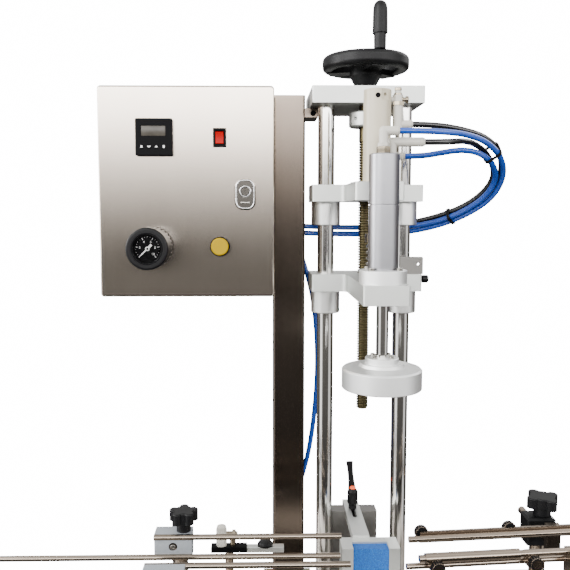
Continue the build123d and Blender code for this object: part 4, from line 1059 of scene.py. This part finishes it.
class MakeFittings(bpy.types.Operator):
    """Sets nuts, release collars and adjusters on the air fittings"""

    bl_idname = "capping.make_fittings"
    bl_label = "Air fittings"

    def execute(self, context):
        collar = [(4.1, 0), (5.6, 0), (6.1, 0.8), (6.1, 2.2), (5.4, 2.8), (5.4, 4.4), (4.1, 4.4)]
        ports = {
            "motor_collars": ("carriage", (13.5, -3, 695), (48.5, 8, 682)),
            "cylinder_collars": ("bridge", (43.5, 60, 711), (33.5, 60, 668)),
        }
        for name, (body, *places) in ports.items():
            collars = [turned_mesh(collar, place, RIGHT, 32) for place in places]
            show_mesh(name, collars, "white_acetal", body)
        nut = [(7.8, 0, 6), (8.1, 0.6, 6), (8.1, 8.6, 6), (7.2, 9.4), (6.4, 9.4), (6.4, 12), (4, 12)]
        mesh = turned_mesh(nut, (-2, -3, 666), UP)
        show_mesh("inlet_nut", mesh, "nickel", "carriage")
        adjuster = [(4.6, 0), (5.6, 0), (5.6, 4), (3.2, 4.4), (3.2, 8), (4.8, 8.4), (4.8, 11.6), (4, 12.2)]
        needles = [
            turned_mesh([(4.8, 0), (7.4, 0, 6), (7.4, 5, 6), (5.2, 6)], (28, 60, 736), UP),
            turned_mesh(adjuster, (28, 60, 748), UP, 32),
            turned_mesh(adjuster, (30, 60, 744), RIGHT, 32),
        ]
        show_mesh("flow_adjusters", needles, "nickel", "bridge")
        return {"FINISHED"}


class MakeThumbScrews(bpy.types.Operator):
    """Sets the fluted thumb screws on the right guide rails"""

    bl_idname = "capping.make_thumb_screws"
    bl_label = "Thumb screws"

    def execute(self, context):
        turn = Matrix.Rotation(math.radians(RIGHT_SLANT), 4, "Z")
        rails = {
            "rear_right_rail": (Vector((50, 47, 129.5)), (7.2, 4), 9.9, Vector((0, 1, 0))),
            "front_right_rail": (Vector((45, -38, 145)), (-4.8, -9), 8.9, Vector((0, -1, 0))),
        }
        for body, (start, (out, up), radius, direction) in rails.items():
            meshes = []
            for along in (22, 153):
                place = start + turn.to_3x3() @ Vector((along, out, up))
                matrix = stand_on(place, turn.to_3x3() @ direction)
                meshes.append(shape_to_mesh(knurled_knob(radius, 10.5, 16), matrix))
            name = "thumb_screws_" + body.split("_")[0]
            show_mesh(name, meshes, "black_abs", body)
        return {"FINISHED"}


class MakeLeverButton(bpy.types.Operator):
    """Sets the release button on the clamping lever"""

    bl_idname = "capping.make_lever_button"
    bl_label = "Lever button"

    def execute(self, context):
        button = [(5.2, -0.6), (5.2, 0.6), (4.6, 2.2), (3, 3.2), (0.6, 3.6)]
        mesh = turned_mesh(button, (-10, 197, 144.3), UP, 32)
        show_mesh("lever_button", mesh, "orange_cap", "lever")
        return {"FINISHED"}


class MakePanel(bpy.types.Panel):
    """Lists the pieces of the machine in the 3D view's sidebar"""

    bl_idname = "VIEW3D_PT_capping"
    bl_label = "Capping machine"
    bl_space_type = "VIEW_3D"
    bl_region_type = "UI"
    bl_category = "Capping machine"

    def draw(self, context):
        for group, kind in SETTINGS.items():
            for setting in kind.__annotations__:
                self.layout.prop(getattr(context.scene, group), setting)
        for operator in OPERATORS:
            self.layout.operator(operator.bl_idname)


SETTINGS = {"capping_hoses": HoseSettings, "capping_screw": ScrewSettings, "capping_stage": StageSettings}
OPERATORS = (
    MakeStage, MakeHoses, FinishNodes, MakeLeadScrew, MakeScrews, MakeTimer, MakeGauge, MakeLatch,
    MakeFittings, MakeThumbScrews, MakeLeverButton, MakeRearSensor,
)


def register():
    for kind in (*SETTINGS.values(), *OPERATORS, MakePanel):
        bpy.utils.register_class(kind)
    for name, kind in SETTINGS.items():
        setattr(bpy.types.Scene, name, bpy.props.PointerProperty(type=kind))


def unregister():
    for name in SETTINGS:
        delattr(bpy.types.Scene, name)
    for kind in (MakePanel, *reversed(OPERATORS), *SETTINGS.values()):
        bpy.utils.unregister_class(kind)


def main():
    """Builds every piece in order."""
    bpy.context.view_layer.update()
    register()
    finishes.update(make_finishes())
    for operator in OPERATORS:
        getattr(bpy.ops.capping, operator.bl_idname.split(".")[1])()


if __name__ == "__main__":
    main()
